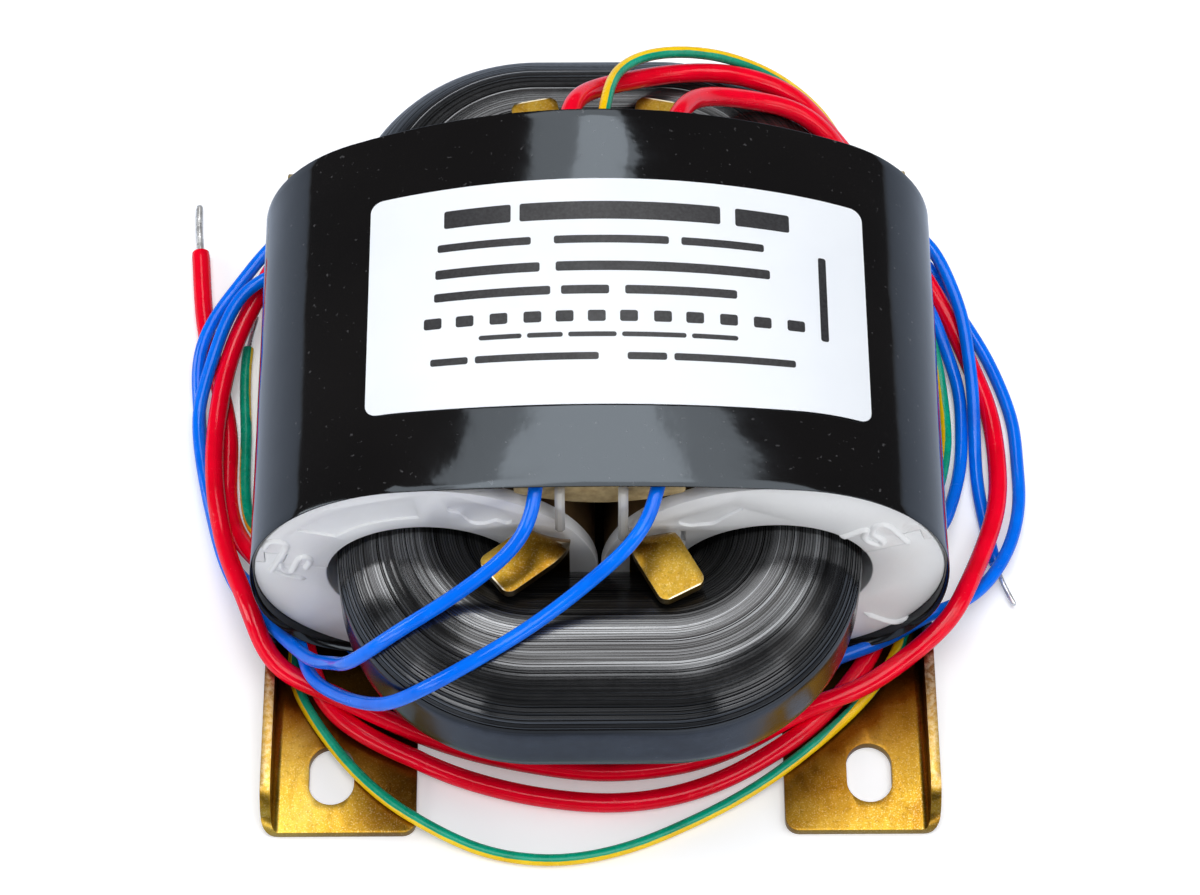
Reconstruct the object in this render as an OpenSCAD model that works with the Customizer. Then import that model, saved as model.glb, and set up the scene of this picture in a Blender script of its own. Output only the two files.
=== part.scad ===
// R-core transformer with two coils, a film wrap, mounting brackets and loose leads.
// Millimetres, +Z up. The part stands on its brackets, coil axes along Y.

/* [Core] */
// Diameter of the core's round section
core_d = 21.6; // [16:0.1:26]
// Width of the flat band on the core's outer and inner faces
core_band = 7.8; // [4:0.1:11]
// Bend radius of the core's centre line at its four corners
core_bend_r = 12.5; // [12:0.1:18]

/* [Bobbins] */
// Length of a bobbin over its flanges
bobbin_len = 46.8; // [36:0.2:60]
// Wall of the bobbin tube
bobbin_wall = 1.0; // [0.8:0.1:2]
// Thickness of a flange
flange_t = 1.6; // [1:0.1:2.5]
// Height of a flange rim above the outer tape
flange_margin = 0.35; // [0.2:0.05:2]
// Gap between the two bobbins' flanges
flange_gap = 0.3; // [0.1:0.05:2]
// Running gap between the core and a bobbin
core_gap = 0.6; // [0.3:0.05:1.2]
// Gap in the joint between two bobbin halves
split_gap = 0.1; // [0.05:0.01:0.3]
// Width of the hook that locks two bobbin halves
hook_w = 2.6; // [1.6:0.1:3.4]
// Height of that hook
hook_h = 2.2; // [1.2:0.1:3.4]
// Flare of the hook on each side
hook_flare = 0.35; // [0.1:0.05:0.8]
// Turn of the left bobbin's joint about its axis
split_turn_left = 10; // [-40:1:40]
// Turn of the right bobbin's joint about its axis
split_turn_right = -25; // [-40:1:40]

/* [Windings] */
// Radial build of the primary winding
primary_build = 2.8; // [1.5:0.1:5]
// Radial build of the secondary winding
secondary_build = 2.8; // [1.5:0.1:5]
// Thickness of each layer of insulation tape
tape_t = 0.3; // [0.2:0.05:0.6]
// Thickness of the shield foil
foil_t = 0.2; // [0.1:0.05:0.4]
// Opening of the shield foil, which stops a shorted turn
foil_open = 3; // [1:0.5:8]
// Thickness of the outer tape
outer_tape_t = 0.5; // [0.2:0.05:1]
// Gap between the end of a winding and a flange
winding_gap = 0.1; // [0.05:0.05:1]

/* [Wrap and label] */
// Overhang of the film wrap past the flanges at each end
wrap_over = 0.4; // [0.1:0.05:0.8]
// Thickness of the film wrap
wrap_t = 0.5; // [0.3:0.05:1]
// Gap between the flanges and the wrap
wrap_gap = 0.05; // [0.02:0.01:0.3]
// Rise of the wrap over the valley between the coils, at the front end
rise_front = 1.0; // [0.4:0.1:4]
// Rise of the wrap over that valley at the rear end, where leads come out
rise_rear = 5.0; // [1:0.1:7]
// Size of the label across the coils
label_w = 56.5; // [30:0.5:60]
// Size of the label along the coils
label_len = 28.4; // [15:0.2:34]
// Middle of the label across the coils
label_x = 2.2; // [-6:0.1:6]
// Middle of the label along the coils
label_y = 0.3; // [-4:0.1:4]
// Thickness of the label
label_t = 0.15; // [0.1:0.05:0.4]
// Corner radius of the label
label_r = 1.4; // [0.5:0.1:4]

/* [Joint roll] */
// Width of the paper roll in the valley between the coils
roll_w = 19; // [10:0.5:22]
// Distance from a flange's outer face in to the roll's end
roll_in = 0.9; // [0.3:0.1:4]
// Height of the roll's underside over the coil axes
roll_z = 15; // [12:0.1:17]
// Rise of the roll's underside at its sides
roll_sag = 2.3; // [2:0.1:4]
// Gap between the roll and the wrap
roll_gap = 0.15; // [0.1:0.05:0.5]
// Outer diameter of the clear sleeve on a winding start
sleeve_d = 1.2; // [0.8:0.1:2]
// Place of the left sleeve across the valley
sleeve_left_x = -4.4; // [-6:0.1:-2]
// Place of the right sleeve across the valley
sleeve_right_x = 2.6; // [2:0.1:6]
// Height at which the sleeves leave the roll, over the coil axes
sleeve_z = 18.4; // [17:0.1:19]

/* [Brackets] */
// Thickness of the bracket sheet
sheet_t = 1.2; // [0.8:0.1:2]
// Overall width over the two brackets
foot_span = 79; // [60:0.5:100]
// Length of a bracket
foot_len = 93; // [70:0.5:120]
// Width of a foot strip
foot_w = 18; // [12:0.5:24]
// Corner radius of a foot
foot_r = 1.5; // [0.5:0.1:4]
// Height of the outer lip
lip_h = 5; // [3:0.1:8]
// Corner radius of the lip's ends as a share of its height
lip_round = 0.7; // [0.2:0.05:0.9]
// Distance between the slots across the part
slot_pitch_x = 63; // [50:0.5:80]
// Distance from a foot's end in to the middle of its slot
slot_in = 7.3; // [5:0.1:12]
// Width of a slot
slot_w = 5.3; // [3:0.1:7]
// Length of a slot
slot_len = 7.5; // [5:0.1:12]
// Gap between a tongue's side and the bend of the core's window
tongue_side_gap = 0.15; // [0.05:0.05:0.6]
// Distance from the middle to the near edge of a tongue
tongue_x = 3.4; // [2:0.1:5]
// Gap between a tongue and the wrap's end behind it
tongue_gap = 0.1; // [0.05:0.05:0.6]
// Gap between a tongue and the core before it
tongue_core_gap = 0.2; // [0.1:0.05:0.8]
// Width of a tongue's bent end
tab_w = 5.6; // [4:0.1:8]
// Length of a front tongue's bent end
tab_len = 6.2; // [4:0.1:9]
// Length of a rear tongue's bent end
tab_len_rear = 7.8; // [4:0.1:9]
// Gap between a bent end and the core's crest
tab_gap = 0.15; // [0.05:0.05:0.5]
// Turn of the front left bent end from straight out
tab_turn_left = 52; // [0:1:60]
// Turn of the front right bent end from straight out
tab_turn_right = 28; // [0:1:60]
// Turn of the rear bent ends from straight out
tab_turn_rear = 12; // [0:1:60]

/* [Leads] */
// Outer diameter of the red leads
red_d = 2.3; // [1.6:0.1:2.6]
// Outer diameter of the blue leads
blue_d = 1.6; // [1.2:0.1:2]
// Outer diameter of the green and yellow lead
earth_d = 1.4; // [1:0.1:1.8]
// Diameter of a tinned end as a share of the lead's own
tip_share = 0.4; // [0.3:0.05:0.7]

/* [Hidden] */
$fn = 96;
foil_gap = 0.02;
sleeve_gap = 0.1;
slot_pitch_y = foot_len - 2 * slot_in;
half_depth = sqrt(pow(core_d / 2, 2) - pow(core_band / 2, 2));
bore_r = core_d / 2 + core_gap;
tube_r = bore_r + bobbin_wall;
r1 = tube_r + primary_build;
r2 = r1 + tape_t;
r3 = r2 + foil_t;
r4 = r3 + tape_t;
r5 = r4 + secondary_build;
r6 = r5 + outer_tape_t;
flange_r = r6 + flange_margin;
leg_x = flange_r + flange_gap / 2;
wrap_in = flange_r + wrap_gap;
wrap_r = wrap_in + wrap_t;
axis_z = sheet_t + wrap_r;
wind_len = bobbin_len - 2 * flange_t - 2 * winding_gap;
wrap_len = bobbin_len + 2 * wrap_over;
roll_len = bobbin_len - 2 * roll_in;
tongue_y = wrap_len / 2 + tongue_gap;
core_in_y = tongue_y + sheet_t + tongue_core_gap;
core_y = core_in_y + half_depth;
window_r = core_bend_r - half_depth;
tongue_out = leg_x - core_bend_r + sqrt(pow(window_r, 2) - pow(max(0, window_r - tongue_core_gap), 2))
    - tongue_side_gap;
tongue_w = tongue_out - tongue_x;

// Lead routes: points as [across, along, height of the underside], from the exit to the tip
route_red_outer = [[-3, 26.5, 42.5], [0, 32, 38], [9, 38, 32.5], [16.5, 39, 31], [23.5, 39, 27],
    [28, 38, 21], [35.5, 34.5, 10.5], [37.5, 31.5, 8], [39.5, 28.5, 6], [42, 25.5, 3.5], [44.5, 21.5, 1.5],
    [46.5, 16.5, 0], [48.5, 10, 0], [49, 2.5, 0.5], [48.5, -4.5, 1.5], [46, -12, 3], [43.5, -18, 5.5],
    [41, -22.5, 5.5], [31.5, -30, 4.5], [24, -32.5, 3.5], [17.5, -35.5, 1], [10, -38, 0], [0, -39, 0],
    [-10, -37.5, 0], [-18, -35.5, 0.5], [-24, -33.5, 2], [-33, -30, 4.5], [-37, -28.5, 5],
    [-39.5, -25.5, 5.5], [-41, -21.5, 6.5], [-42.5, -17.5, 5.5], [-44.5, -12.5, 4.5], [-45.5, -8.5, 4],
    [-46.5, -3.5, 4], [-47, 2.5, 3], [-47, 7, 2.5], [-46.5, 12.5, 2.5], [-45.5, 18, 2.5], [-44, 22, 3],
    [-42, 26.5, 3.5], [-39.5, 30.5, 5.5], [-36, 33, 4.5], [-31.5, 35.5, 3.5], [-29, 36, 3],
    [-26.5, 37, 2.5]];
route_red_inner = [[9.5, 26, 41.5], [12.5, 31.5, 37], [20, 34.5, 31.5], [25, 34.5, 29], [29.5, 33, 23.5],
    [31.5, 31.5, 17.5], [33.5, 29.5, 11], [34.5, 26, 5.5], [34.5, 22, 2.5], [34.5, 17, 1.5], [34.5, 8, 1.5],
    [34.5, -2, 1.5], [34.5, -12, 1.5], [34, -18.5, 1], [33, -23, 1], [29.5, -28.5, 1.5], [24.5, -34, 1],
    [20.5, -37, 1.5], [16, -39.5, 0.5], [9, -42, 0], [1, -43, 0], [-8, -42, 0], [-16, -40, 0.5],
    [-21, -38, 1], [-28, -34.5, 1.5], [-32.5, -30.5, 1.5], [-35, -23.5, 2.5], [-35.5, -19.5, 4],
    [-37.5, -16.5, 5.5], [-40.5, -13.5, 5], [-42.5, -10.5, 3], [-44.5, -6.5, 1], [-45.5, -1, 0],
    [-45.5, 6, 0], [-46.5, 11.5, 0], [-48, 17, 0], [-49.5, 23.5, 0], [-50.5, 34, 0], [-51, 37.5, 0],
    [-51, 41, 0]];
route_earth = [[1, 26.5, 43.5], [2.5, 33.5, 40], [7, 38.5, 36.5], [14, 40.5, 33.5], [20.5, 41.5, 28.5],
    [25.5, 41.5, 23], [29.5, 40.5, 17], [34, 34.5, 9.5], [36.5, 27.5, 7], [38.5, 24, 5.5], [41, 20.5, 4],
    [42.5, 16, 1], [43, 10.5, 0], [43, 5, 0.5], [41, -4, 4], [39, -7.5, 5.5], [37.5, -11, 4.5],
    [37.5, -15.5, 2.5], [36.5, -21.5, 1.5], [33, -28, 1.5], [28, -33.5, 1.5], [21, -39.5, 1.5],
    [16, -42.5, 0.5], [10, -45.5, 0], [3, -48.5, 0], [-5, -50, 0], [-13, -49, 0], [-20, -46, 1],
    [-26, -42, 1.5], [-32, -35, 1], [-36.5, -27, 1], [-36, -20.5, 1], [-36.5, -16.5, 2.5], [-38, -13, 5.5],
    [-40, -10.5, 5.5], [-42, -7.5, 2.5], [-43, -4, 1], [-43.5, 2, 0.5], [-43.5, 7, 0], [-44, 13, 0],
    [-44, 20, 0], [-43.5, 22, 0], [-43, 24.5, 0]];
route_blue_single = [[-7.5, -26.5, 39], [-9.5, -29, 37], [-15.5, -32.5, 33.5], [-22.5, -35.5, 30],
    [-28, -36, 23.5], [-30.5, -32.5, 16.5], [-33.5, -29.5, 11], [-36, -26, 8], [-39, -22, 5.5],
    [-40.5, -19.5, 4.5], [-42.5, -17, 2], [-44.5, -13, 0.5], [-46, -9, 0], [-47, -5, 0], [-48, -1, 0],
    [-49, 4.5, 0], [-49.5, 11, 0], [-50, 15, 1], [-49.5, 19, 2.5], [-47.5, 23, 3.5], [-45, 26.5, 4],
    [-42, 31, 4.5], [-38.5, 34, 5.5], [-31, 38, 2.5], [-23.5, 39.5, 1.5], [-15.5, 40, 0.5], [-5, 40, 0],
    [6, 40, 0], [16.5, 39.5, 0.5], [23.5, 38.5, 1.5], [30, 37, 2], [35, 36, 3.5], [39, 33.5, 5.5],
    [42, 30.5, 6.5], [45.5, 22, 4], [46, 17.5, 3], [46.5, 12.5, 2], [46.5, 6, 0.5], [46.5, -1, 0],
    [48, -11.5, 0], [49, -15, 0], [50, -17, 0]];
route_blue_double = [[5.5, -26.5, 39.5], [3.5, -29, 38], [-2.5, -33, 34.5], [-8, -36.5, 32.5],
    [-12.5, -39, 31.5], [-16, -40.5, 30], [-19.5, -41.5, 28], [-24, -40.5, 22], [-28.5, -36.5, 15],
    [-31.5, -33, 10.5], [-34, -30, 8], [-35.5, -23.5, 5.5], [-37.5, -20.5, 5.5], [-39.5, -18.5, 5.5],
    [-42, -15.5, 3.5], [-44.5, -12, 2], [-46, -8.5, 2], [-47, -5, 2], [-48, -1, 2], [-49, 4.5, 2],
    [-49.5, 9.5, 2], [-48.5, 13.5, 3], [-47.5, 17, 4], [-46, 21.5, 5], [-43.5, 25, 6.5], [-39.5, 27, 6.5],
    [-33.5, 33, 2.5], [-29, 35, 1.5], [-22, 36.5, 1], [-16, 37.5, 0.5], [-8, 38, 0], [8, 38, 0],
    [16, 37.5, 0.5], [21.5, 36.5, 1], [29, 35, 2], [34.5, 33, 4], [38.5, 31, 5.5], [42.5, 28, 4],
    [45, 24.5, 1], [48, 19.5, 0], [50, 14, 0], [51.5, 8, 0], [51.5, 2, 0], [51.5, -3, 0.5],
    [49.5, -10.5, 1.5], [45, -17, 2.5], [39, -21, 5.5], [35.5, -23, 4.5], [32.5, -24.5, 4],
    [28.5, -25.5, 3.5], [23.5, -28, 3], [18, -30.5, 1.5], [10.5, -32.5, 0], [-5.5, -33, 0],
    [-13.5, -31.5, 1], [-21, -29, 1.5], [-26.5, -26, 1.5], [-30.5, -22, 1.5], [-33, -14, 1.5],
    [-33, 5.5, 1.5], [-32.5, 21.5, 1.5], [-29, 28.5, 1.5], [-22, 33, 1], [-16, 34.5, 0.5], [1, 35, 0],
    [17, 33.5, 0.5], [22, 33, 1.5], [31, 30.5, 2], [35.5, 28.5, 4], [39, 26, 5.5], [41.5, 23, 4],
    [43.5, 18.5, 1], [45, 13, 0.5], [45, 7.5, 0], [44.5, 1.5, 0], [42.5, -5.5, 2], [41.5, -8.5, 4],
    [39, -11.5, 5.5], [34, -16.5, 5], [31, -21.5, 1.5], [24.5, -29, 1.5], [20, -31.5, 1], [17, -33, 0.5],
    [13.5, -34.5, 0]];
// Half width, half length and axis height for which the routes were drawn
route_x = 40;
route_y = 45.4;
route_z = 21.4;
lead_kx = max(foot_span / 2, leg_x + wrap_r) / route_x;
lead_ky = (core_y + half_depth) / route_y;
lead_kz = axis_z / route_z;
exit_drop = 0.4;
lay_gap = 0.05;
lead_sides = 8;
red_tint = [0.86, 0.04, 0.08];
blue_tint = [0.02, 0.36, 0.86];
earth_tint = [0.05, 0.62, 0.42];
tin_tint = [0.76, 0.76, 0.74];

// Core: a rounded rectangle in plan, swept with a circle that has two flat bands
module core_section() {
    intersection() {
        circle(d = core_d);
        square([2 * half_depth, core_d + 1], center = true);
    }
}

module core_corner(sx, sy) {
    translate([sx * (leg_x - core_bend_r), sy * (core_y - core_bend_r), axis_z])
        rotate([0, 0, sx > 0 ? (sy > 0 ? 0 : -90) : (sy > 0 ? 90 : 180)])
            rotate_extrude(angle = 90) translate([core_bend_r, 0]) core_section();
}

module core_bar(pos, turn, len) {
    translate([pos[0], pos[1], axis_z]) rotate([0, 0, turn]) rotate([90, 0, 0])
        linear_extrude(height = len, center = true) core_section();
}

module r_core() {
    color([0.13, 0.13, 0.15]) union() {
        for (sx = [-1, 1]) core_bar([sx * leg_x, 0], 0, 2 * (core_y - core_bend_r));
        for (sy = [-1, 1]) core_bar([0, sy * core_y], 90, 2 * (leg_x - core_bend_r));
        for (sx = [-1, 1], sy = [-1, 1]) core_corner(sx, sy);
    }
}

// Bobbin: a flanged tube in two halves, which hook together at both sides
module ring(r_out, r_in, len) {
    rotate([90, 0, 0]) linear_extrude(height = len, center = true)
        difference() { circle(r = r_out); circle(r = r_in); }
}

module flanges() {
    for (sy = [-1, 1]) translate([0, sy * (bobbin_len - flange_t) / 2, 0]) ring(flange_r, bore_r, flange_t);
}

module bobbin() {
    ring(tube_r, bore_r, bobbin_len);
    flanges();
}

module hook(x, grow) {
    translate([x, 0]) polygon([
        [-hook_w / 2 + hook_flare - grow, -hook_h / 2], [-hook_w / 2 + hook_flare - grow, 0],
        [-hook_w / 2 - grow, hook_h + grow], [hook_w / 2 + grow, hook_h + grow],
        [hook_w / 2 - hook_flare + grow, 0], [hook_w / 2 - hook_flare + grow, -hook_h / 2]]);
}

module lower_half(grow) {
    translate([-flange_r - 1, -bobbin_len, -flange_r - 1])
        cube([2 * flange_r + 2, 2 * bobbin_len, flange_r + 1 + grow]);
}

module hooks(grow) {
    for (sx = [-1, 1]) translate([0, 0, grow]) rotate([90, 0, 0])
        linear_extrude(height = bobbin_len + 1, center = true) hook(sx * (r3 + r6) / 2, grow);
}

module bobbin_lower(x, turn) {
    color([0.80, 0.80, 0.78]) translate([x, 0, axis_z]) rotate([0, turn, 0]) union() {
        intersection() { bobbin(); lower_half(0); }
        intersection() { flanges(); hooks(0); }
    }
}

module bobbin_upper(x, turn) {
    color([0.84, 0.84, 0.82]) translate([x, 0, axis_z]) rotate([0, turn, 0]) difference() {
        bobbin();
        lower_half(split_gap);
        hooks(split_gap);
    }
}

module bobbin_left_upper() { bobbin_upper(-leg_x, split_turn_left); }
module bobbin_left_lower() { bobbin_lower(-leg_x, split_turn_left); }
module bobbin_right_upper() { bobbin_upper(leg_x, split_turn_right); }
module bobbin_right_lower() { bobbin_lower(leg_x, split_turn_right); }

// Windings and their insulation, from the bobbin tube outwards
module layer(x, r_out, r_in, tint) {
    color(tint) translate([x, 0, axis_z]) ring(r_out, r_in, wind_len);
}

module foil(x) {
    color([0.80, 0.45, 0.25]) translate([x, 0, axis_z]) difference() {
        ring(r3, r2 + foil_gap, wind_len);
        translate([-foil_open / 2, -wind_len, -r3 - 1]) cube([foil_open, 2 * wind_len, r3]);
    }
}

module primary_left() { layer(-leg_x, r1, tube_r, [0.72, 0.36, 0.16]); }
module primary_right() { layer(leg_x, r1, tube_r, [0.72, 0.36, 0.16]); }
module primary_tape_left() { layer(-leg_x, r2, r1, [0.85, 0.75, 0.35]); }
module primary_tape_right() { layer(leg_x, r2, r1, [0.85, 0.75, 0.35]); }
module shield_foil_left() { foil(-leg_x); }
module shield_foil_right() { foil(leg_x); }
module shield_tape_left() { layer(-leg_x, r4, r3, [0.85, 0.75, 0.35]); }
module shield_tape_right() { layer(leg_x, r4, r3, [0.85, 0.75, 0.35]); }
module secondary_left() { layer(-leg_x, r5, r4, [0.76, 0.40, 0.18]); }
module secondary_right() { layer(leg_x, r5, r4, [0.76, 0.40, 0.18]); }
module outer_tape_left() { layer(-leg_x, r6, r5, [0.62, 0.48, 0.30]); }
module outer_tape_right() { layer(leg_x, r6, r5, [0.62, 0.48, 0.30]); }

// Wrap: its outline is two coil circles, closed by a crown that rises from front to rear
function lean(rise) = atan(2 * rise / leg_x);
function crown_x(r, rise) = leg_x + r * sin(lean(rise));
function crown_z(r, rise, x) = let (c = crown_x(r, rise), z0 = r * cos(lean(rise)), ax = abs(x))
    ax < c ? z0 + (r + rise - z0) * (1 - pow(x / c, 2)) : sqrt(max(0, pow(r, 2) - pow(ax - leg_x, 2)));
function along(y) = (y + wrap_len / 2) / wrap_len;
function top_z(r, x, y) = (1 - along(y)) * crown_z(r, rise_front, x) + along(y) * crown_z(r, rise_rear, x);
round_steps = 12;
flat_steps = 16;
function top_xs(r) = concat(
    [for (i = [0 : round_steps]) -leg_x - r * cos(90 * i / round_steps)],
    [for (i = [1 : flat_steps - 1]) -leg_x + 2 * leg_x * i / flat_steps],
    [for (i = [round_steps : -1 : 0]) leg_x + r * cos(90 * i / round_steps)]);
function wrap_ring(r, y) = concat(
    [for (x = top_xs(r)) [x, y, axis_z + top_z(r, x, y)]],
    [for (i = [1 : round_steps]) let (a = -90 * i / round_steps)
        [leg_x + r * cos(a), y, axis_z + r * sin(a)]],
    [for (i = [round_steps : -1 : 1]) let (a = -90 * i / round_steps)
        [-leg_x - r * cos(a), y, axis_z + r * sin(a)]]);
function quad(a, b, c, d) = [[a, b, c], [a, c, d]];
function flat(lists) = [for (l = lists) for (v = l) v];

module film_wrap() {
    y0 = -wrap_len / 2;
    y1 = wrap_len / 2;
    rings = [wrap_ring(wrap_r, y0), wrap_ring(wrap_r, y1), wrap_ring(wrap_in, y1), wrap_ring(wrap_in, y0)];
    n = len(rings[0]);
    faces = flat([for (k = [0 : 3]) for (i = [0 : n - 1]) let (j = (i + 1) % n, m = (k + 1) % 4)
        quad(k * n + i, m * n + i, m * n + j, k * n + j)]);
    color([0.05, 0.05, 0.06]) polyhedron(points = flat(rings), faces = faces);
}

// Label: a thin sheet that lies on the wrap's crown
label_gap = 0.15;
label_cols = 30;
function label_col(i) = let (h = label_w / 2, n = label_cols, c = 4)
    i <= c ? -h + label_r * (1 - cos(90 * i / c))
    : i >= n - c ? h - label_r * (1 - cos(90 * (n - i) / c))
    : -h + label_r + (label_w - 2 * label_r) * (i - c) / (n - 2 * c);
function label_half(x) = let (d = label_w / 2 - abs(x))
    label_len / 2 - (d < label_r ? label_r - sqrt(max(0, pow(label_r, 2) - pow(label_r - d, 2))) : 0);

module label() {
    pts = [for (lift = [label_gap, label_gap + label_t]) for (i = [0 : label_cols]) for (s = [-1, 1])
        let (x = label_x + label_col(i), y = label_y + s * label_half(label_col(i)))
            [x, y, axis_z + top_z(wrap_r + lift, x, y)]];
    n = label_cols + 1;
    b = 2 * n;
    faces = concat(
        flat([for (i = [0 : n - 2]) quad(2 * i, 2 * i + 1, 2 * i + 3, 2 * i + 2)]),
        flat([for (i = [0 : n - 2]) quad(b + 2 * i, b + 2 * i + 2, b + 2 * i + 3, b + 2 * i + 1)]),
        flat([for (i = [0 : n - 2]) quad(2 * i, 2 * i + 2, b + 2 * i + 2, b + 2 * i)]),
        flat([for (i = [0 : n - 2]) quad(2 * i + 1, b + 2 * i + 1, b + 2 * i + 3, 2 * i + 3)]),
        quad(0, b, b + 1, 1), quad(2 * n - 2, 2 * n - 1, b + 2 * n - 1, b + 2 * n - 2));
    color([0.92, 0.93, 0.95]) polyhedron(points = pts, faces = faces);
}

// Joint roll: crepe paper that fills the valley under the crown
roll_steps = 16;
function roll_ring(y) = concat(
    [for (i = [0 : roll_steps]) let (x = roll_w * (i / roll_steps - 0.5))
        [x, y, axis_z + top_z(wrap_in, x, y) - roll_gap]],
    [for (i = [roll_steps : -1 : 0]) let (x = roll_w * (i / roll_steps - 0.5))
        [x, y, axis_z + roll_z + roll_sag * pow(2 * x / roll_w, 2)]]);

module joint_roll() {
    a = roll_ring(-roll_len / 2);
    b = roll_ring(roll_len / 2);
    n = len(a);
    faces = concat(
        flat([for (i = [0 : n - 1]) let (j = (i + 1) % n) quad(i, n + i, n + j, j)]),
        [[for (i = [0 : n - 1]) i], [for (i = [n - 1 : -1 : 0]) n + i]]);
    color([0.78, 0.66, 0.45]) polyhedron(points = concat(a, b), faces = faces);
}

// Sleeve on a winding start: out of the roll, over the flange rim and down to its face
sleeve_steps = 6;

module start_sleeve(x) {
    y0 = -roll_len / 2;
    y1 = -bobbin_len / 2 - sleeve_d / 2 - sleeve_gap;
    bend = min(sleeve_d, y0 - y1);
    rim = sqrt(pow(flange_r, 2) - pow(leg_x - abs(x) - sleeve_d, 2));
    drop_z = min(rim, sleeve_z - bend) - sleeve_d;
    c = concat([[x, y0, axis_z + sleeve_z]],
        [for (i = [bend < y0 - y1 ? 0 : 1 : sleeve_steps]) let (a = 90 * i / sleeve_steps)
            [x, y1 + bend * (1 - sin(a)), axis_z + sleeve_z - bend * (1 - cos(a))]],
        [[x, y1, axis_z + drop_z]]);
    color([0.82, 0.80, 0.72]) tube(c, 0, len(c) - 1, sleeve_d);
}

module start_sleeve_left() { start_sleeve(sleeve_left_x); }
module start_sleeve_right() { start_sleeve(sleeve_right_x); }

// Bracket: a slotted foot strip with an outer lip, and two tongues bent over the core
module foot_outline() {
    x0 = foot_span / 2 - foot_w;
    difference() {
        union() {
            translate([x0, -foot_len / 2 + foot_r]) square([foot_w, foot_len - 2 * foot_r]);
            translate([x0 + foot_r, -foot_len / 2]) square([foot_w - 2 * foot_r, foot_len]);
            for (px = [x0 + foot_r, x0 + foot_w - foot_r], sy = [-1, 1])
                translate([px, sy * (foot_len / 2 - foot_r)]) circle(r = foot_r, $fn = 32);
        }
        for (sy = [-1, 1]) translate([slot_pitch_x / 2, sy * slot_pitch_y / 2]) {
            square([slot_w, slot_len - slot_w], center = true);
            for (s = [-1, 1]) translate([0, s * (slot_len - slot_w) / 2]) circle(d = slot_w, $fn = 48);
        }
    }
}

module lip_outline() {
    r = lip_round * lip_h;
    half = foot_len / 2 - foot_r;
    intersection() {
        translate([-half, 0]) square([2 * half, lip_h]);
        union() {
            translate([-half, 0]) square([2 * half, lip_h - r]);
            translate([-half + r, 0]) square([2 * (half - r), lip_h]);
            for (s = [-1, 1]) translate([s * (half - r), lip_h - r]) circle(r = r, $fn = 48);
        }
    }
}

lug_len = 6;
bend_drop = 2.2;
bend_out = 1.6;
bend_side = 0.6;
edge_d = 0.6;
end_d = 1;
tongue_top = axis_z + core_d / 2 + tab_gap - bend_drop;

// Bent end: a plate from the tongue's top, out over the core's crest
module bent_end(turn, reach) {
    h0 = tongue_top;
    h1 = axis_z + core_d / 2 + tab_gap;
    w = tab_w;
    mid = tongue_x + w / 2;
    d = [sin(turn), cos(turn)];
    n = [cos(turn), -sin(turn)];
    a = [mid + bend_side * d[0], tongue_y + sheet_t / 2 + bend_out];
    b = [a[0] + reach * d[0], a[1] + reach * d[1]];
    function edge(c, s, dia) = [c[0] + s * (w - dia) / 2 * n[0], c[1] + s * (w - dia) / 2 * n[1], h1];
    hull() {
        translate([tongue_x, tongue_y, h0 - sheet_t]) cube([tongue_w, sheet_t, sheet_t]);
        for (s = [-1, 1]) translate(edge(a, s, edge_d)) cylinder(d = edge_d, h = sheet_t, $fn = 16);
    }
    hull() {
        for (s = [-1, 1]) translate(edge(a, s, edge_d)) cylinder(d = edge_d, h = sheet_t, $fn = 16);
        for (s = [-1, 1]) translate(edge(b, s, end_d)) cylinder(d = end_d, h = sheet_t, $fn = 16);
    }
}

module tongue(turn, reach) {
    translate([tongue_x, tongue_y, 0]) cube([foot_span / 2 - foot_w - tongue_x + foot_r, lug_len, sheet_t]);
    translate([tongue_x, tongue_y, 0]) cube([tongue_w, sheet_t, tongue_top]);
    bent_end(turn, reach);
}

module bracket(turn_front, turn_rear) {
    color([0.80, 0.62, 0.18]) union() {
        linear_extrude(height = sheet_t) foot_outline();
        translate([foot_span / 2 - sheet_t, 0, 0]) rotate([90, 0, 90])
            linear_extrude(height = sheet_t) lip_outline();
        tongue(turn_rear, tab_len_rear);
        mirror([0, 1, 0]) tongue(turn_front, tab_len);
    }
}

module bracket_right() { bracket(tab_turn_right, tab_turn_rear); }
module bracket_left() { mirror([1, 0, 0]) bracket(tab_turn_left, tab_turn_rear); }

// Leads: smooth curves through the route points, lifted onto whatever lies under them
function over(gap, r) = sqrt(max(0, r * r - gap * gap));
function rest_z(x, y, r) = let (a = abs(x), foot_dx = max(0, foot_span / 2 - foot_w - a),
    lip_dx = max(0, abs(a - foot_span / 2 + sheet_t / 2) - sheet_t / 2),
    on_foot = a < foot_span / 2 && abs(y) < foot_len / 2 && foot_dx < r,
    on_lip = abs(y) < foot_len / 2 - foot_r && lip_dx < r)
    lay_gap + max(r, on_foot ? sheet_t + over(foot_dx, r) : 0, on_lip ? lip_h + over(lip_dx, r) : 0);
function laid(p, r) = [p[0], p[1], max(p[2], rest_z(p[0], p[1], r))];
function curve(p, i, t) = let (n = len(p), b = p[i], c = p[i + 1],
    a = i > 0 ? p[i - 1] : 2 * b - c, d = i + 2 < n ? p[i + 2] : 2 * c - b)
    (2 * b + (c - a) * t + (2 * a - 5 * b + 4 * c - d) * t * t + (3 * b - a - 3 * c + d) * t * t * t) / 2;
function exit_at(x, y, dia) = [x, y, axis_z + top_z(wrap_in, x, y) - roll_gap - exit_drop - dia / 2];
function path(exit, route, dia, steps) = let (r = dia / 2,
    p = concat([exit], [for (q = route) laid([q[0] * lead_kx, q[1] * lead_ky, q[2] * lead_kz + r], r)]))
    concat([for (i = [0 : len(p) - 2]) for (k = [0 : steps - 1]) laid(curve(p, i, k / steps), r)],
        [p[len(p) - 1]]);
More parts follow.
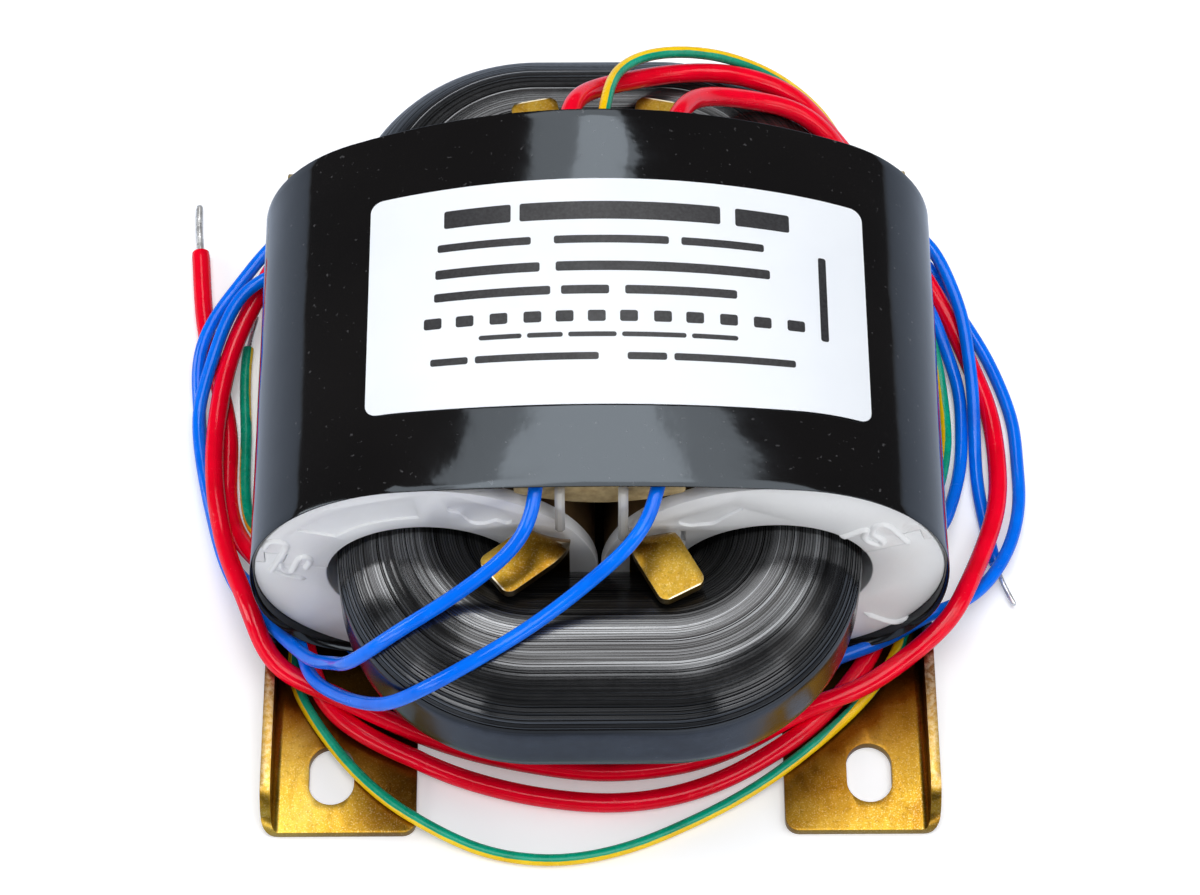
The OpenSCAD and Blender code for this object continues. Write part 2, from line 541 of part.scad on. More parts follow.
function heading(c, i) = i == 0 ? [0, sign(c[1][1] - c[0][1]), 0]
    : let (v = c[min(i + 1, len(c) - 1)] - c[i - 1]) v / norm(v);
function lead_ring(c, i, dia) = let (t = heading(c, i), w = cross(t, [0, 0, 1]),
    s = norm(w) < 0.01 ? [-1, 0, 0] : w / norm(w), u = cross(s, t))
    [for (j = [0 : lead_sides - 1]) let (a = 360 * (j + 0.5) / lead_sides)
        c[i] + dia / 2 * (cos(a) * s + sin(a) * u)];

module tube(c, from, to, dia) {
    n = lead_sides;
    m = to - from;
    faces = concat(
        flat([for (i = [0 : m - 1]) for (j = [0 : n - 1]) let (k = (j + 1) % n)
            quad(i * n + j, i * n + k, (i + 1) * n + k, (i + 1) * n + j)]),
        [[for (j = [n - 1 : -1 : 0]) j], [for (j = [0 : n - 1]) m * n + j]]);
    polyhedron(points = flat([for (i = [from : to]) lead_ring(c, i, dia)]), faces = faces);
}

// The last two stretches of a route are the tinned end
module lead(c, dia, steps, tint) { color(tint) tube(c, 0, len(c) - 1 - 2 * steps, dia); }
module tip(c, dia, steps) { color(tin_tint) tube(c, len(c) - 1 - 2 * steps, len(c) - 1, dia * tip_share); }

path_red_outer = path(exit_at(-3.5, roll_len / 2, red_d), route_red_outer, red_d, 2);
path_red_inner = path(exit_at(8.5, roll_len / 2, red_d), route_red_inner, red_d, 2);
path_earth = path(exit_at(0.5, roll_len / 2, earth_d), route_earth, earth_d, 2);
path_blue_single = path(exit_at(-7, -roll_len / 2, blue_d), route_blue_single, blue_d, 2);
path_blue_double = path(exit_at(6.5, -roll_len / 2, blue_d), route_blue_double, blue_d, 1);

module lead_red_outer() { lead(path_red_outer, red_d, 2, red_tint); }
module lead_red_inner() { lead(path_red_inner, red_d, 2, red_tint); }
module lead_earth() { lead(path_earth, earth_d, 2, earth_tint); }
module lead_blue_single() { lead(path_blue_single, blue_d, 2, blue_tint); }
module lead_blue_double() { lead(path_blue_double, blue_d, 1, blue_tint); }
module tip_red_outer() { tip(path_red_outer, red_d, 2); }
module tip_red_inner() { tip(path_red_inner, red_d, 2); }
module tip_earth() { tip(path_earth, earth_d, 2); }
module tip_blue_single() { tip(path_blue_single, blue_d, 2); }
module tip_blue_double() { tip(path_blue_double, blue_d, 1); }

r_core();
bobbin_left_upper();
bobbin_left_lower();
bobbin_right_upper();
bobbin_right_lower();
primary_left();
primary_right();
primary_tape_left();
primary_tape_right();
shield_foil_left();
shield_foil_right();
shield_tape_left();
shield_tape_right();
secondary_left();
secondary_right();
outer_tape_left();
outer_tape_right();
joint_roll();
start_sleeve_left();
start_sleeve_right();
film_wrap();
label();
bracket_left();
bracket_right();
lead_red_outer();
lead_red_inner();
lead_earth();
lead_blue_single();
lead_blue_double();
tip_red_outer();
tip_red_inner();
tip_earth();
tip_blue_single();
tip_blue_double();
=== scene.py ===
import math

import bmesh
import bpy
import numpy as np
from mathutils import Matrix, Vector, noise


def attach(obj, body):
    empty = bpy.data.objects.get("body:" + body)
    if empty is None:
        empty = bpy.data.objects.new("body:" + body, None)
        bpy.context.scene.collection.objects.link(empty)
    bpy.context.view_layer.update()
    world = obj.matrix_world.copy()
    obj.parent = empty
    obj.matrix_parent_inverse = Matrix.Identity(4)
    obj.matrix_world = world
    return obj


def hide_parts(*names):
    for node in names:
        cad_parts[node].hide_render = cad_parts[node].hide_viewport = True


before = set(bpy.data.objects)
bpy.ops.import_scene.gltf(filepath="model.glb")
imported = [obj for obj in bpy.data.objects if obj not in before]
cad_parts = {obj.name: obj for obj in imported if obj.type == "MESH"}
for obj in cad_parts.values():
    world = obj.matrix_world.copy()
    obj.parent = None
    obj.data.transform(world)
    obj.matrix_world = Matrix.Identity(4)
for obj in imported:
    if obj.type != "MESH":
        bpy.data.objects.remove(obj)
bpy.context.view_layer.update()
scene = bpy.context.scene
MM = 0.001
rng = np.random.default_rng(11)

# ---- sizes of the part, in millimetres
CORE_R, HALF_DEPTH, CORE_BEND, LAYERS = 10.8, 10.07, 12.5, 68
LEG_X, AXIS_Z, CORE_Y = 19.8, 21.4, 35.37
WRAP_IN, WRAP_R, WRAP_LEN = 19.7, 20.2, 47.6
RISE_FRONT, RISE_REAR = 1.0, 5.0
FLANGE_FACE = -23.4
ROLL_GAP, EXIT_DROP = 0.15, 0.4
FOOT_OUT, FOOT_IN, FOOT_END, SHEET, LIP_H, LIP_END = 39.5, 21.5, 46.5, 1.2, 5.0, 45.0
SLOT_X, SLOT_Y, SLOT_R, SLOT_HALF = 31.5, 39.2, 2.65, 1.1
LABEL_X, LABEL_Y, LABEL_W, LABEL_L, LABEL_CORNER = 2.2, 0.3, 56.5, 28.4, 1.4

# ---- camera
CAM_YAW, CAM_RISE = math.radians(-0.334), math.radians(60.047)
CAM_TARGET, CAM_FAR = (0.175, -6.694, 21.4), 412.74
CAM_FOCAL_PX, CAM_WIDTH_PX, CAM_SENSOR = 3533.07, 1200, 36


def make_camera():
    turn = Matrix.Rotation(CAM_YAW, 3, "Z")
    target = turn @ Vector(CAM_TARGET)
    away = turn @ Vector((0, -math.cos(CAM_RISE), math.sin(CAM_RISE)))
    data = bpy.data.cameras.new("camera")
    data.sensor_width = CAM_SENSOR
    data.sensor_fit = "HORIZONTAL"
    data.lens = CAM_FOCAL_PX * CAM_SENSOR / CAM_WIDTH_PX
    data.clip_start = 0.01
    cam = add_object("camera", data)
    cam.location = (target + away * CAM_FAR) * MM
    cam.rotation_euler = (-away).to_track_quat("-Z", "Y").to_euler()
    scene.camera = cam


# ---- meshes
def add_object(name, data):
    ob = bpy.data.objects.new(name, data)
    scene.collection.objects.link(ob)
    return ob


def new_mesh(name, verts, faces, smooth=True):
    """Makes a piece from points in millimetres."""
    data = bpy.data.meshes.new(name)
    data.from_pydata((np.array(verts, float) * MM).tolist(), [], faces)
    data.validate()
    data.update()
    if smooth:
        data.shade_smooth()
    return add_object(name, data)


def loft_faces(rings, size, closed=True, loop=False):
    """Quads between rings of equal size; loop joins the last ring to the first."""
    out = []
    for i in range(rings if loop else rings - 1):
        a, b = i * size, ((i + 1) % rings) * size
        for j in range(size if closed else size - 1):
            k = (j + 1) % size
            out.append((a + j, a + k, b + k, b + j))
    return out


def capped(rings, size):
    """The faces of a loft with both ends closed."""
    last = (rings - 1) * size
    return loft_faces(rings, size) + [tuple(range(size))[::-1], tuple(range(last, last + size))]


def corner_cut(d, r):
    """How far a rounded corner lies in from the side at a distance d from the end."""
    return r - math.sqrt(max(0.0, r * r - (r - d) ** 2)) if d < r else 0.0


def point_attribute(ob, name, values):
    layer = ob.data.attributes.new(name, "FLOAT", "POINT")
    layer.data.foreach_set("value", np.asarray(values, np.float32))


def paint(ob, material):
    ob.data.materials.clear()
    ob.data.materials.append(material)


def dress(ob, material, replaces=None):
    """Gives a piece its material and its place in the frame."""
    paint(ob, material)
    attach(ob, "root")
    if replaces:
        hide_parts(replaces)


def round_edges(ob, width, segments, angle, cutters=()):
    """Cuts the holes, then rounds the sharp edges."""
    for cutter in cutters:
        mod = ob.modifiers.new("hole", "BOOLEAN")
        mod.operation = "DIFFERENCE"
        mod.solver = "EXACT"
        mod.object = cutter
    mod = ob.modifiers.new("edges", "BEVEL")
    mod.width = width * MM
    mod.segments = segments
    mod.limit_method = "ANGLE"
    mod.angle_limit = math.radians(angle)
    mod.use_clamp_overlap = True
    bpy.context.view_layer.update()
    done = bpy.data.meshes.new_from_object(ob.evaluated_get(bpy.context.evaluated_depsgraph_get()))
    ob.modifiers.clear()
    ob.data = done
    for cutter in cutters:
        bpy.data.objects.remove(cutter)
    done.shade_smooth()
    done.set_sharp_from_angle(angle=math.radians(38))
    return ob


def soften(node, name, width, cutters=()):
    """A copy of a CAD solid with its sharp edges rounded."""
    bm = bmesh.new()
    bm.from_mesh(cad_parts[node].data)
    bmesh.ops.remove_doubles(bm, verts=bm.verts, dist=2e-6)
    bmesh.ops.dissolve_limit(bm, angle_limit=math.radians(0.6), verts=bm.verts, edges=bm.edges)
    data = bpy.data.meshes.new(name)
    bm.to_mesh(data)
    bm.free()
    return round_edges(add_object(name, data), width, 2, 30, cutters)


# ---- materials
class Shader:
    """A node material; sockets given as keyword arguments are set or linked."""

    def __init__(self, name, **sockets):
        self.material = bpy.data.materials.new(name)
        self.material.use_nodes = True
        self.tree = self.material.node_tree
        self.bsdf = self.tree.nodes["Principled BSDF"]
        self.set(self.bsdf, sockets)

    def set(self, node, sockets):
        for key, value in sockets.items():
            socket = node.inputs[key if isinstance(key, int) else key.replace("_", " ")]
            if isinstance(value, bpy.types.NodeSocket):
                self.tree.links.new(value, socket)
            elif socket.type == "RGBA" and len(value) == 3:
                socket.default_value = (*value, 1)
            else:
                socket.default_value = value

    def surface(self, **sockets):
        self.set(self.bsdf, sockets)
        return self.material

    def add(self, kind, props=None, **sockets):
        node = self.tree.nodes.new("ShaderNode" + kind)
        for key, value in (props or {}).items():
            setattr(node, key, value)
        self.set(node, sockets)
        return node

    def place(self):
        return self.add("TexCoord").outputs["Object"]

    def attribute(self, name, output="Fac"):
        return self.add("Attribute", {"attribute_name": name}).outputs[output]

    def noise(self, scale, detail=3, rough=0.5, stretch=None, distortion=0.0):
        vector = self.place()
        if stretch:
            vector = self.add("Mapping", Vector=vector, Scale=stretch).outputs[0]
        return self.add("TexNoise", Vector=vector, Scale=scale, Detail=detail, Roughness=rough,
                        Distortion=distortion).outputs["Fac"]

    def ramp(self, fac, *stops):
        node = self.add("ValToRGB", Fac=fac)
        elements = node.color_ramp.elements
        while len(elements) < len(stops):
            elements.new(0.5)
        for element, (at, value) in zip(elements, stops):
            element.position = at
            element.color = (*value, 1) if isinstance(value, tuple) else (value, value, value, 1)
        return node.outputs["Color"]

    def vary(self, scale, detail, low, high):
        """A number or colour that drifts between two with a noise."""
        return self.ramp(self.noise(scale, detail), (0.3, low), (0.7, high))

    def math(self, operation, a, b=0.0):
        node = self.add("Math", {"operation": operation})
        self.set(node, {0: a, 1: b})
        return node.outputs[0]

    def plus(self, a, b):
        return self.math("ADD", a, b)

    def minus(self, a, b):
        return self.math("SUBTRACT", a, b)

    def times(self, a, b):
        return self.math("MULTIPLY", a, b)

    def mix(self, fac, a, b, blend="MIX"):
        node = self.add("Mix", {"data_type": "RGBA", "blend_type": blend})
        self.set(node, {0: fac, 6: a, 7: b})
        return node.outputs[2]

    def bump(self, height, distance, strength=1.0):
        return self.add("Bump", Height=height, Distance=distance * MM, Strength=strength).outputs["Normal"]


def srgb(r, g, b):
    return tuple((c / 255 / 12.92) if c <= 10 else ((c / 255 + 0.055) / 1.055) ** 2.4 for c in (r, g, b))


def pvc(name, colour, dark):
    s = Shader(name, IOR=1.5, Specular_IOR_Level=0.34)
    cloud = s.noise(260)
    scuff = s.ramp(s.noise(1100, 3, 0.6), (0.60, 0.0), (0.74, 0.3))
    return s.surface(Base_Color=s.ramp(cloud, (0.3, dark), (0.62, colour)),
                     Roughness=s.plus(s.vary(700, 3, 0.06, 0.17), scuff),
                     Normal=s.bump(s.plus(s.times(cloud, 0.7), s.times(s.noise(2600, 2), 0.05)), 0.05))


def earth_pvc():
    s = Shader("earth_pvc", IOR=1.5, Specular_IOR_Level=0.38)
    around = s.plus(s.attribute("around"), s.times(s.minus(s.noise(500, 2), 0.5), 0.06))
    stripe = s.ramp(around, (0.0, 1.0), (0.30, 1.0), (0.34, 0.0), (1.0, 0.0))
    green = s.vary(300, 2, (0.0, 0.30, 0.17), (0.0, 0.42, 0.25))
    yellow = s.vary(300, 2, (0.92, 0.56, 0.0), (1.0, 0.68, 0.01))
    return s.surface(Base_Color=s.mix(stripe, green, yellow), Roughness=s.vary(700, 3, 0.2, 0.34),
                     Normal=s.bump(s.noise(900), 0.02))


def tinned():
    s = Shader("tinned_wire", Metallic=0.7, IOR=1.5)
    return s.surface(Base_Color=s.vary(1500, 3, (0.62, 0.62, 0.62), (0.88, 0.88, 0.87)),
                     Roughness=s.vary(2200, 3, 0.22, 0.42), Normal=s.bump(s.noise(2600), 0.03))


def core_steel():
    """Strip edges whose tone changes from layer to layer and hardly along them; oxide on the flat faces."""
    s = Shader("core_steel", Metallic=0.9, IOR=1.5)
    layer, along, face = s.attribute("layer"), s.attribute("along"), s.attribute("face")
    bare = s.minus(1.0, face)

    def lines(across, lengthwise, detail):
        at = s.add("CombineXYZ", X=s.times(layer, across), Y=s.times(along, lengthwise)).outputs[0]
        return s.add("TexNoise", Vector=at, Scale=1.0, Detail=detail, Roughness=0.55).outputs["Fac"]

    fine, sheet, broad = lines(340.0, 3.5, 2.0), lines(68.0, 1.6, 1.0), lines(11.0, 1.2, 2.0)
    worn = s.noise(900, 3, 0.6)
    tone = s.plus(s.times(fine, 0.5), s.plus(s.times(sheet, 0.35), s.times(broad, 0.25)))
    edge = s.ramp(tone, (0.40, (0.012, 0.011, 0.011)), (0.50, (0.055, 0.055, 0.056)),
                  (0.60, (0.14, 0.143, 0.148)), (0.72, (0.27, 0.276, 0.285)))
    # painted shade: the strip edges are darker towards the inside and the outside of the coil of strip
    inner_outer_painted_shade = s.ramp(layer, (0.30, 0.22), (0.47, 0.34), (0.53, 1.0), (0.73, 1.0), (0.80, 0.5))
    edge = s.mix(1.0, edge, inner_outer_painted_shade, "MULTIPLY")
    mottle = s.plus(s.times(s.noise(520, 4, 0.65), 0.7), s.times(s.noise(120), 0.3))
    oxide = s.ramp(mottle, (0.36, (0.014, 0.016, 0.023)), (0.50, (0.022, 0.026, 0.036)),
                   (0.62, (0.034, 0.039, 0.052)))
    edge_rough = s.ramp(s.plus(s.times(fine, 0.6), s.times(worn, 0.4)), (0.3, 0.27), (0.7, 0.15))
    return s.surface(Base_Color=s.mix(face, edge, oxide), Tangent=s.attribute("across", "Vector"),
                     Anisotropic=s.times(bare, 0.8),
                     Roughness=s.mix(face, edge_rough, s.ramp(mottle, (0.3, 0.15), (0.7, 0.30))),
                     Normal=s.bump(s.plus(s.times(fine, bare), s.times(worn, 0.12)), 0.004))


def moulded(name, tone, dark):
    s = Shader(name, IOR=1.5, Subsurface_Weight=0.08, Subsurface_Radius=(0.001, 0.001, 0.001),
               Subsurface_Scale=0.4)
    return s.surface(Base_Color=s.ramp(s.noise(60, 4), (0.35, dark), (0.65, tone)),
                     Roughness=s.vary(420, 3, 0.36, 0.52), Normal=s.bump(s.noise(1500), 0.03))


def film():
    s = Shader("black_film", IOR=1.5, Specular_Tint=(0.78, 0.89, 1.0))
    dust = s.ramp(s.noise(1500, 2, 0.4), (0.70, 0.0), (0.78, 1.0))
    black = s.vary(35, 4, (0.0045, 0.0038, 0.0036), (0.008, 0.0068, 0.0064))
    return s.surface(Base_Color=s.mix(s.times(dust, 0.10), black, (0.5, 0.5, 0.52)),
                     Roughness=s.vary(55, 5, 0.05, 0.11), Normal=s.bump(s.noise(420, 2), 0.012, 0.8))


def label_film():
    s = Shader("label_film", IOR=1.45)
    return s.surface(Base_Color=s.vary(40, 3, srgb(228, 233, 240), srgb(238, 242, 247)),
                     Roughness=s.vary(300, 3, 0.42, 0.52), Normal=s.bump(s.noise(1800), 0.008))


def ink():
    s = Shader("label_ink", IOR=1.45)
    return s.surface(Base_Color=s.vary(2500, 3, (0.012, 0.012, 0.014), (0.03, 0.03, 0.034)),
                     Roughness=s.vary(300, 3, 0.4, 0.5))


def chromate(name, painted_coil_shade):
    """Yellow passivated sheet, gold drifting to brown and olive; the second argument adds a painted shade that darkens
    it towards the coils.
    """
    s = Shader(name, Metallic=1.0, IOR=1.5)
    blotch = s.noise(75, 5, 0.6, distortion=0.6)
    grain = s.noise(1300, 3, 0.6, stretch=(1, 0.25, 1))
    gold = s.ramp(blotch, (0.34, (0.30, 0.14, 0.010)), (0.46, (0.46, 0.27, 0.022)),
                  (0.62, (0.58, 0.38, 0.055)), (0.78, (0.68, 0.50, 0.13)))
    deep = s.ramp(blotch, (0.34, (0.22, 0.085, 0.010)), (0.6, (0.42, 0.25, 0.024)), (0.8, (0.42, 0.33, 0.05)))
    body = s.mix(s.ramp(s.noise(26), (0.42, 0.0), (0.62, 1.0)), gold, deep)
    speck = s.ramp(s.noise(2300, 3, 0.6), (0.30, 0.72), (0.46, 1.0))
    body = s.mix(1.0, body, speck, "MULTIPLY")
    fleck = s.ramp(s.noise(5200, 2), (0.54, 0.0), (0.70, 0.32))
    body = s.mix(fleck, body, (0.86, 0.72, 0.36))
    if painted_coil_shade:
        x, y, z = s.add("SeparateXYZ", Vector=s.place()).outputs
        # painted highlight mixed with wear: the lip's top edge is lightened in patches
        crest = s.ramp(s.times(z, 1 / (LIP_H * MM)), (0.93, 0.0), (0.985, 0.25))
        worn = s.times(crest, s.ramp(s.noise(1600, 3, 0.6), (0.42, 0.15), (0.6, 1.0)))
        far = s.plus(s.math("ABSOLUTE", y), 0.012)
        d = s.math("SQRT", s.plus(s.times(x, x), s.times(far, far)))
        d = s.plus(d, s.times(s.minus(s.noise(160), 0.5), 0.008))
        # painted shade: darker near the coils, standing in for their shadow and dark reflection on the sheet
        shade = s.ramp(s.times(s.minus(d, 0.045), 40), (0.2, (0.10, 0.07, 0.06)), (0.40, (0.28, 0.13, 0.06)),
                       (0.55, (0.66, 0.52, 0.42)), (0.8, (1.0, 1.0, 1.0)))
    else:
        shade = (0.62, 0.60, 0.58)
        # painted highlight mixed with wear: the tabs' sharp edges are lightened
        worn = s.ramp(s.add("NewGeometry").outputs["Pointiness"], (0.52, 0.0), (0.58, 0.75))
    body = s.mix(1.0, body, shade, "MULTIPLY")
    return s.surface(Base_Color=s.mix(worn, body, (0.78, 0.72, 0.56)),
                     Roughness=s.ramp(s.plus(s.times(grain, 0.6), s.times(blotch, 0.4)), (0.3, 0.26), (0.7, 0.42)),
                     Normal=s.bump(s.plus(s.times(grain, 0.5), s.times(s.noise(500), 0.5)), 0.02))


def crepe():
    s = Shader("crepe_paper", IOR=1.4)
    fold = s.noise(900, stretch=(1, 0.2, 1))
    return s.surface(Base_Color=s.ramp(fold, (0.3, srgb(160, 136, 92)), (0.7, srgb(200, 178, 130))),
                     Roughness=s.ramp(fold, (0.3, 0.7), (0.7, 0.85)), Normal=s.bump(fold, 0.12))


def tape(name, light, dark):
    s = Shader(name, IOR=1.47)
    return s.surface(Base_Color=s.ramp(s.noise(240, stretch=(1, 0.1, 1)), (0.3, dark), (0.7, light)),
                     Roughness=s.vary(300, 3, 0.34, 0.5), Normal=s.bump(s.noise(500), 0.02))


def copper(name, light, dark, rough):
    s = Shader(name, Metallic=1.0, IOR=1.5)
    turns = s.add("TexWave", {"bands_direction": "Y"}, Vector=s.place(), Scale=420.0,
                  Distortion=0.4).outputs["Fac"]
    return s.surface(Base_Color=s.ramp(turns, (0.2, dark), (0.8, light)),
                     Roughness=s.vary(500, 3, rough, rough + 0.12), Normal=s.bump(turns, 0.08))


def clear_sleeve():
    s = Shader("clear_sleeve", IOR=1.45, Transmission_Weight=0.45)
    return s.surface(Base_Color=s.ramp(s.noise(220, 2), (0.35, (0.80, 0.79, 0.75)), (0.65, (0.90, 0.90, 0.88))),
                     Roughness=s.vary(300, 2, 0.16, 0.26), Normal=s.bump(s.noise(300, 2), 0.01))


# ---- shapes shared by wrap, label and leads
def crown_z(r, rise, x):
    """The height over the coils' axes of a film of radius r that bulges by rise between the coils."""
    lean = math.atan(2 * rise / LEG_X)
    c, z0 = LEG_X + r * math.sin(lean), r * math.cos(lean)
    x = np.asarray(x, float)
    side = np.sqrt(np.maximum(0, r * r - (np.abs(x) - LEG_X) ** 2))
    return np.where(np.abs(x) < c, z0 + (r + rise - z0) * (1 - (x / c) ** 2), side)


def top_z(r, x, y):
    t = (np.asarray(y, float) + WRAP_LEN / 2) / WRAP_LEN
    return AXIS_Z + (1 - t) * crown_z(r, RISE_FRONT, x) + t * crown_z(r, RISE_REAR, x)


# ---- leads, laid out as points on their underside
ROUTES = {
    "red_outer": [(-3, 26.5, 42.5), (0, 32, 38), (9, 38, 32.5), (16.5, 39, 31), (23.5, 39, 27), (28, 38, 21),
     (35.5, 34.5, 10.5), (37.5, 31.5, 8), (39.5, 28.5, 6), (42, 25.5, 3.5), (44.5, 21.5, 1.5), (46.5, 16.5, 0),
     (48.5, 10, 0), (49, 2.5, 0.5), (48.5, -4.5, 1.5), (46, -12, 3), (43.5, -18, 5.5), (41, -22.5, 5.5),
     (31.5, -30, 4.5), (24, -32.5, 3.5), (17.5, -35.5, 1), (10, -38, 0), (0, -39, 0), (-10, -37.5, 0),
     (-18, -35.5, 0.5), (-24, -33.5, 2), (-33, -30, 4.5), (-37, -28.5, 5), (-39.5, -25.5, 5.5), (-41, -21.5, 6.5),
     (-42.5, -17.5, 5.5), (-44.5, -12.5, 4.5), (-45.5, -8.5, 4), (-46.5, -3.5, 4), (-47, 2.5, 3), (-47, 7, 2.5),
     (-46.5, 12.5, 2.5), (-45.5, 18, 2.5), (-44, 22, 3), (-42, 26.5, 3.5), (-39.5, 30.5, 5.5), (-36, 33, 4.5),
     (-31.5, 35.5, 3.5), (-29, 36, 3), (-26.5, 37, 2.5)],
    "red_inner": [(9.5, 26, 41.5), (12.5, 31.5, 37), (20, 34.5, 31.5), (25, 34.5, 29), (29.5, 33, 23.5),
     (31.5, 31.5, 17.5), (33.5, 29.5, 11), (34.5, 26, 5.5), (34.5, 22, 2.5), (34.5, 17, 1.5), (34.5, 8, 1.5),
     (34.5, -2, 1.5), (34.5, -12, 1.5), (34, -18.5, 1), (33, -23, 1), (29.5, -28.5, 1.5), (24.5, -34, 1),
     (20.5, -37, 1.5), (16, -39.5, 0.5), (9, -42, 0), (1, -43, 0), (-8, -42, 0), (-16, -40, 0.5), (-21, -38, 1),
     (-28, -34.5, 1.5), (-32.5, -30.5, 1.5), (-35, -23.5, 2.5), (-35.5, -19.5, 4), (-37.5, -16.5, 5.5),
     (-40.5, -13.5, 5), (-42.5, -10.5, 3), (-44.5, -6.5, 1), (-45.5, -1, 0), (-45.5, 6, 0), (-46.5, 11.5, 0),
     (-48, 17, 0), (-49.5, 23.5, 0), (-50.5, 34, 0), (-51, 37.5, 0), (-51, 41, 0)],
    "earth": [(1, 26.5, 43.5), (2.5, 33.5, 40), (7, 38.5, 36.5), (14, 40.5, 33.5), (20.5, 41.5, 28.5),
     (25.5, 41.5, 23), (29.5, 40.5, 17), (34, 34.5, 9.5), (36.5, 27.5, 7), (38.5, 24, 5.5), (41, 20.5, 4),
     (42.5, 16, 1), (43, 10.5, 0), (43, 5, 0.5), (41, -4, 4), (39, -7.5, 5.5), (37.5, -11, 4.5), (37.5, -15.5, 2.5),
     (36.5, -21.5, 1.5), (33, -28, 1.5), (28, -33.5, 1.5), (21, -39.5, 1.5), (16, -42.5, 0.5), (10, -45.5, 0),
     (3, -48.5, 0), (-5, -50, 0), (-13, -49, 0), (-20, -46, 1), (-26, -42, 1.5), (-32, -35, 1), (-36.5, -27, 1),
     (-36, -20.5, 1), (-36.5, -16.5, 2.5), (-38, -13, 5.5), (-40, -10.5, 5.5), (-42, -7.5, 2.5), (-43, -4, 1),
     (-43.5, 2, 0.5), (-43.5, 7, 0), (-44, 13, 0), (-44, 20, 0), (-43.5, 22, 0), (-43, 24.5, 0)],
    "blue_single": [(-7.5, -26.5, 39), (-9.5, -29, 37), (-15.5, -32.5, 33.5), (-22.5, -35.5, 30), (-28, -36, 23.5),
     (-30.5, -32.5, 16.5), (-33.5, -29.5, 11), (-36, -26, 8), (-39, -22, 5.5), (-40.5, -19.5, 4.5), (-42.5, -17, 2),
     (-44.5, -13, 0.5), (-46, -9, 0), (-47, -5, 0), (-48, -1, 0), (-49, 4.5, 0), (-49.5, 11, 0), (-50, 15, 1),
     (-49.5, 19, 2.5), (-47.5, 23, 3.5), (-45, 26.5, 4), (-42, 31, 4.5), (-38.5, 34, 5.5), (-31, 38, 2.5),
     (-23.5, 39.5, 1.5), (-15.5, 40, 0.5), (-5, 40, 0), (6, 40, 0), (16.5, 39.5, 0.5), (23.5, 38.5, 1.5), (30, 37, 2),
     (35, 36, 3.5), (39, 33.5, 5.5), (42, 30.5, 6.5), (45.5, 22, 4), (46, 17.5, 3), (46.5, 12.5, 2), (46.5, 6, 0.5),
     (46.5, -1, 0), (48, -11.5, 0), (49, -15, 0), (50, -17, 0)],
    "blue_double": [(5.5, -26.5, 39.5), (3.5, -29, 38), (-2.5, -33, 34.5), (-8, -36.5, 32.5), (-12.5, -39, 31.5),
     (-16, -40.5, 30), (-19.5, -41.5, 28), (-24, -40.5, 22), (-28.5, -36.5, 15), (-31.5, -33, 10.5), (-34, -30, 8),
     (-35.5, -23.5, 5.5), (-37.5, -20.5, 5.5), (-39.5, -18.5, 5.5), (-42, -15.5, 3.5), (-44.5, -12, 2), (-46, -8.5, 2),
     (-47, -5, 2), (-48, -1, 2), (-49, 4.5, 2), (-49.5, 9.5, 2), (-48.5, 13.5, 3), (-47.5, 17, 4), (-46, 21.5, 5),
     (-43.5, 25, 6.5), (-39.5, 27, 6.5), (-33.5, 33, 2.5), (-29, 35, 1.5), (-22, 36.5, 1), (-16, 37.5, 0.5),
     (-8, 38, 0), (8, 38, 0), (16, 37.5, 0.5), (21.5, 36.5, 1), (29, 35, 2), (34.5, 33, 4), (38.5, 31, 5.5),
     (42.5, 28, 4), (45, 24.5, 1), (48, 19.5, 0), (50, 14, 0), (51.5, 8, 0), (51.5, 2, 0), (51.5, -3, 0.5),
     (49.5, -10.5, 1.5), (45, -17, 2.5), (39, -21, 5.5), (35.5, -23, 4.5), (32.5, -24.5, 4), (28.5, -25.5, 3.5),
     (23.5, -28, 3), (18, -30.5, 1.5), (10.5, -32.5, 0), (-5.5, -33, 0), (-13.5, -31.5, 1), (-21, -29, 1.5),
     (-26.5, -26, 1.5), (-30.5, -22, 1.5), (-33, -14, 1.5), (-33, 5.5, 1.5), (-32.5, 21.5, 1.5), (-29, 28.5, 1.5),
     (-22, 33, 1), (-16, 34.5, 0.5), (1, 35, 0), (17, 33.5, 0.5), (22, 33, 1.5), (31, 30.5, 2), (35.5, 28.5, 4),
     (39, 26, 5.5), (41.5, 23, 4), (43.5, 18.5, 1), (45, 13, 0.5), (45, 7.5, 0), (44.5, 1.5, 0), (42.5, -5.5, 2),
     (41.5, -8.5, 4), (39, -11.5, 5.5), (34, -16.5, 5), (31, -21.5, 1.5), (24.5, -29, 1.5), (20, -31.5, 1),
     (17, -33, 0.5), (13.5, -34.5, 0)],
}
EXITS = {"red_outer": (-3.5, 22.5), "red_inner": (8.5, 22.5), "earth": (0.5, 22.5), "blue_single": (-7, -22.5),
         "blue_double": (6.5, -22.5)}
# diameter and slot of each kind of lead
LEAD_KINDS = {"red": (2.3, "red_pvc"), "blue": (1.6, "blue_pvc"), "earth": (1.4, "green_yellow_pvc")}
TRACE_STEP, LEAD_STEP, LEAD_SIDES = 0.5, 0.6, 20
REST_GAP, LEAD_GAP, ROUNDS = 0.03, 0.015, 26
TIP_SHARE, TIP_STEP, TIP_SIDES, TIP_LOBES, TIP_TAPER = 0.4, 0.2, 28, 7, 0.3
# the earth lead's stripe: share of the lead's length, and degrees from the top towards the left
STRIPE = [(0.0, 40), (0.22, 35), (0.27, -70), (0.44, -75), (0.53, 95), (0.76, 100), (0.82, 76), (0.86, 80),
          (0.905, 104), (0.945, 110), (0.962, 250), (1.0, 262)]


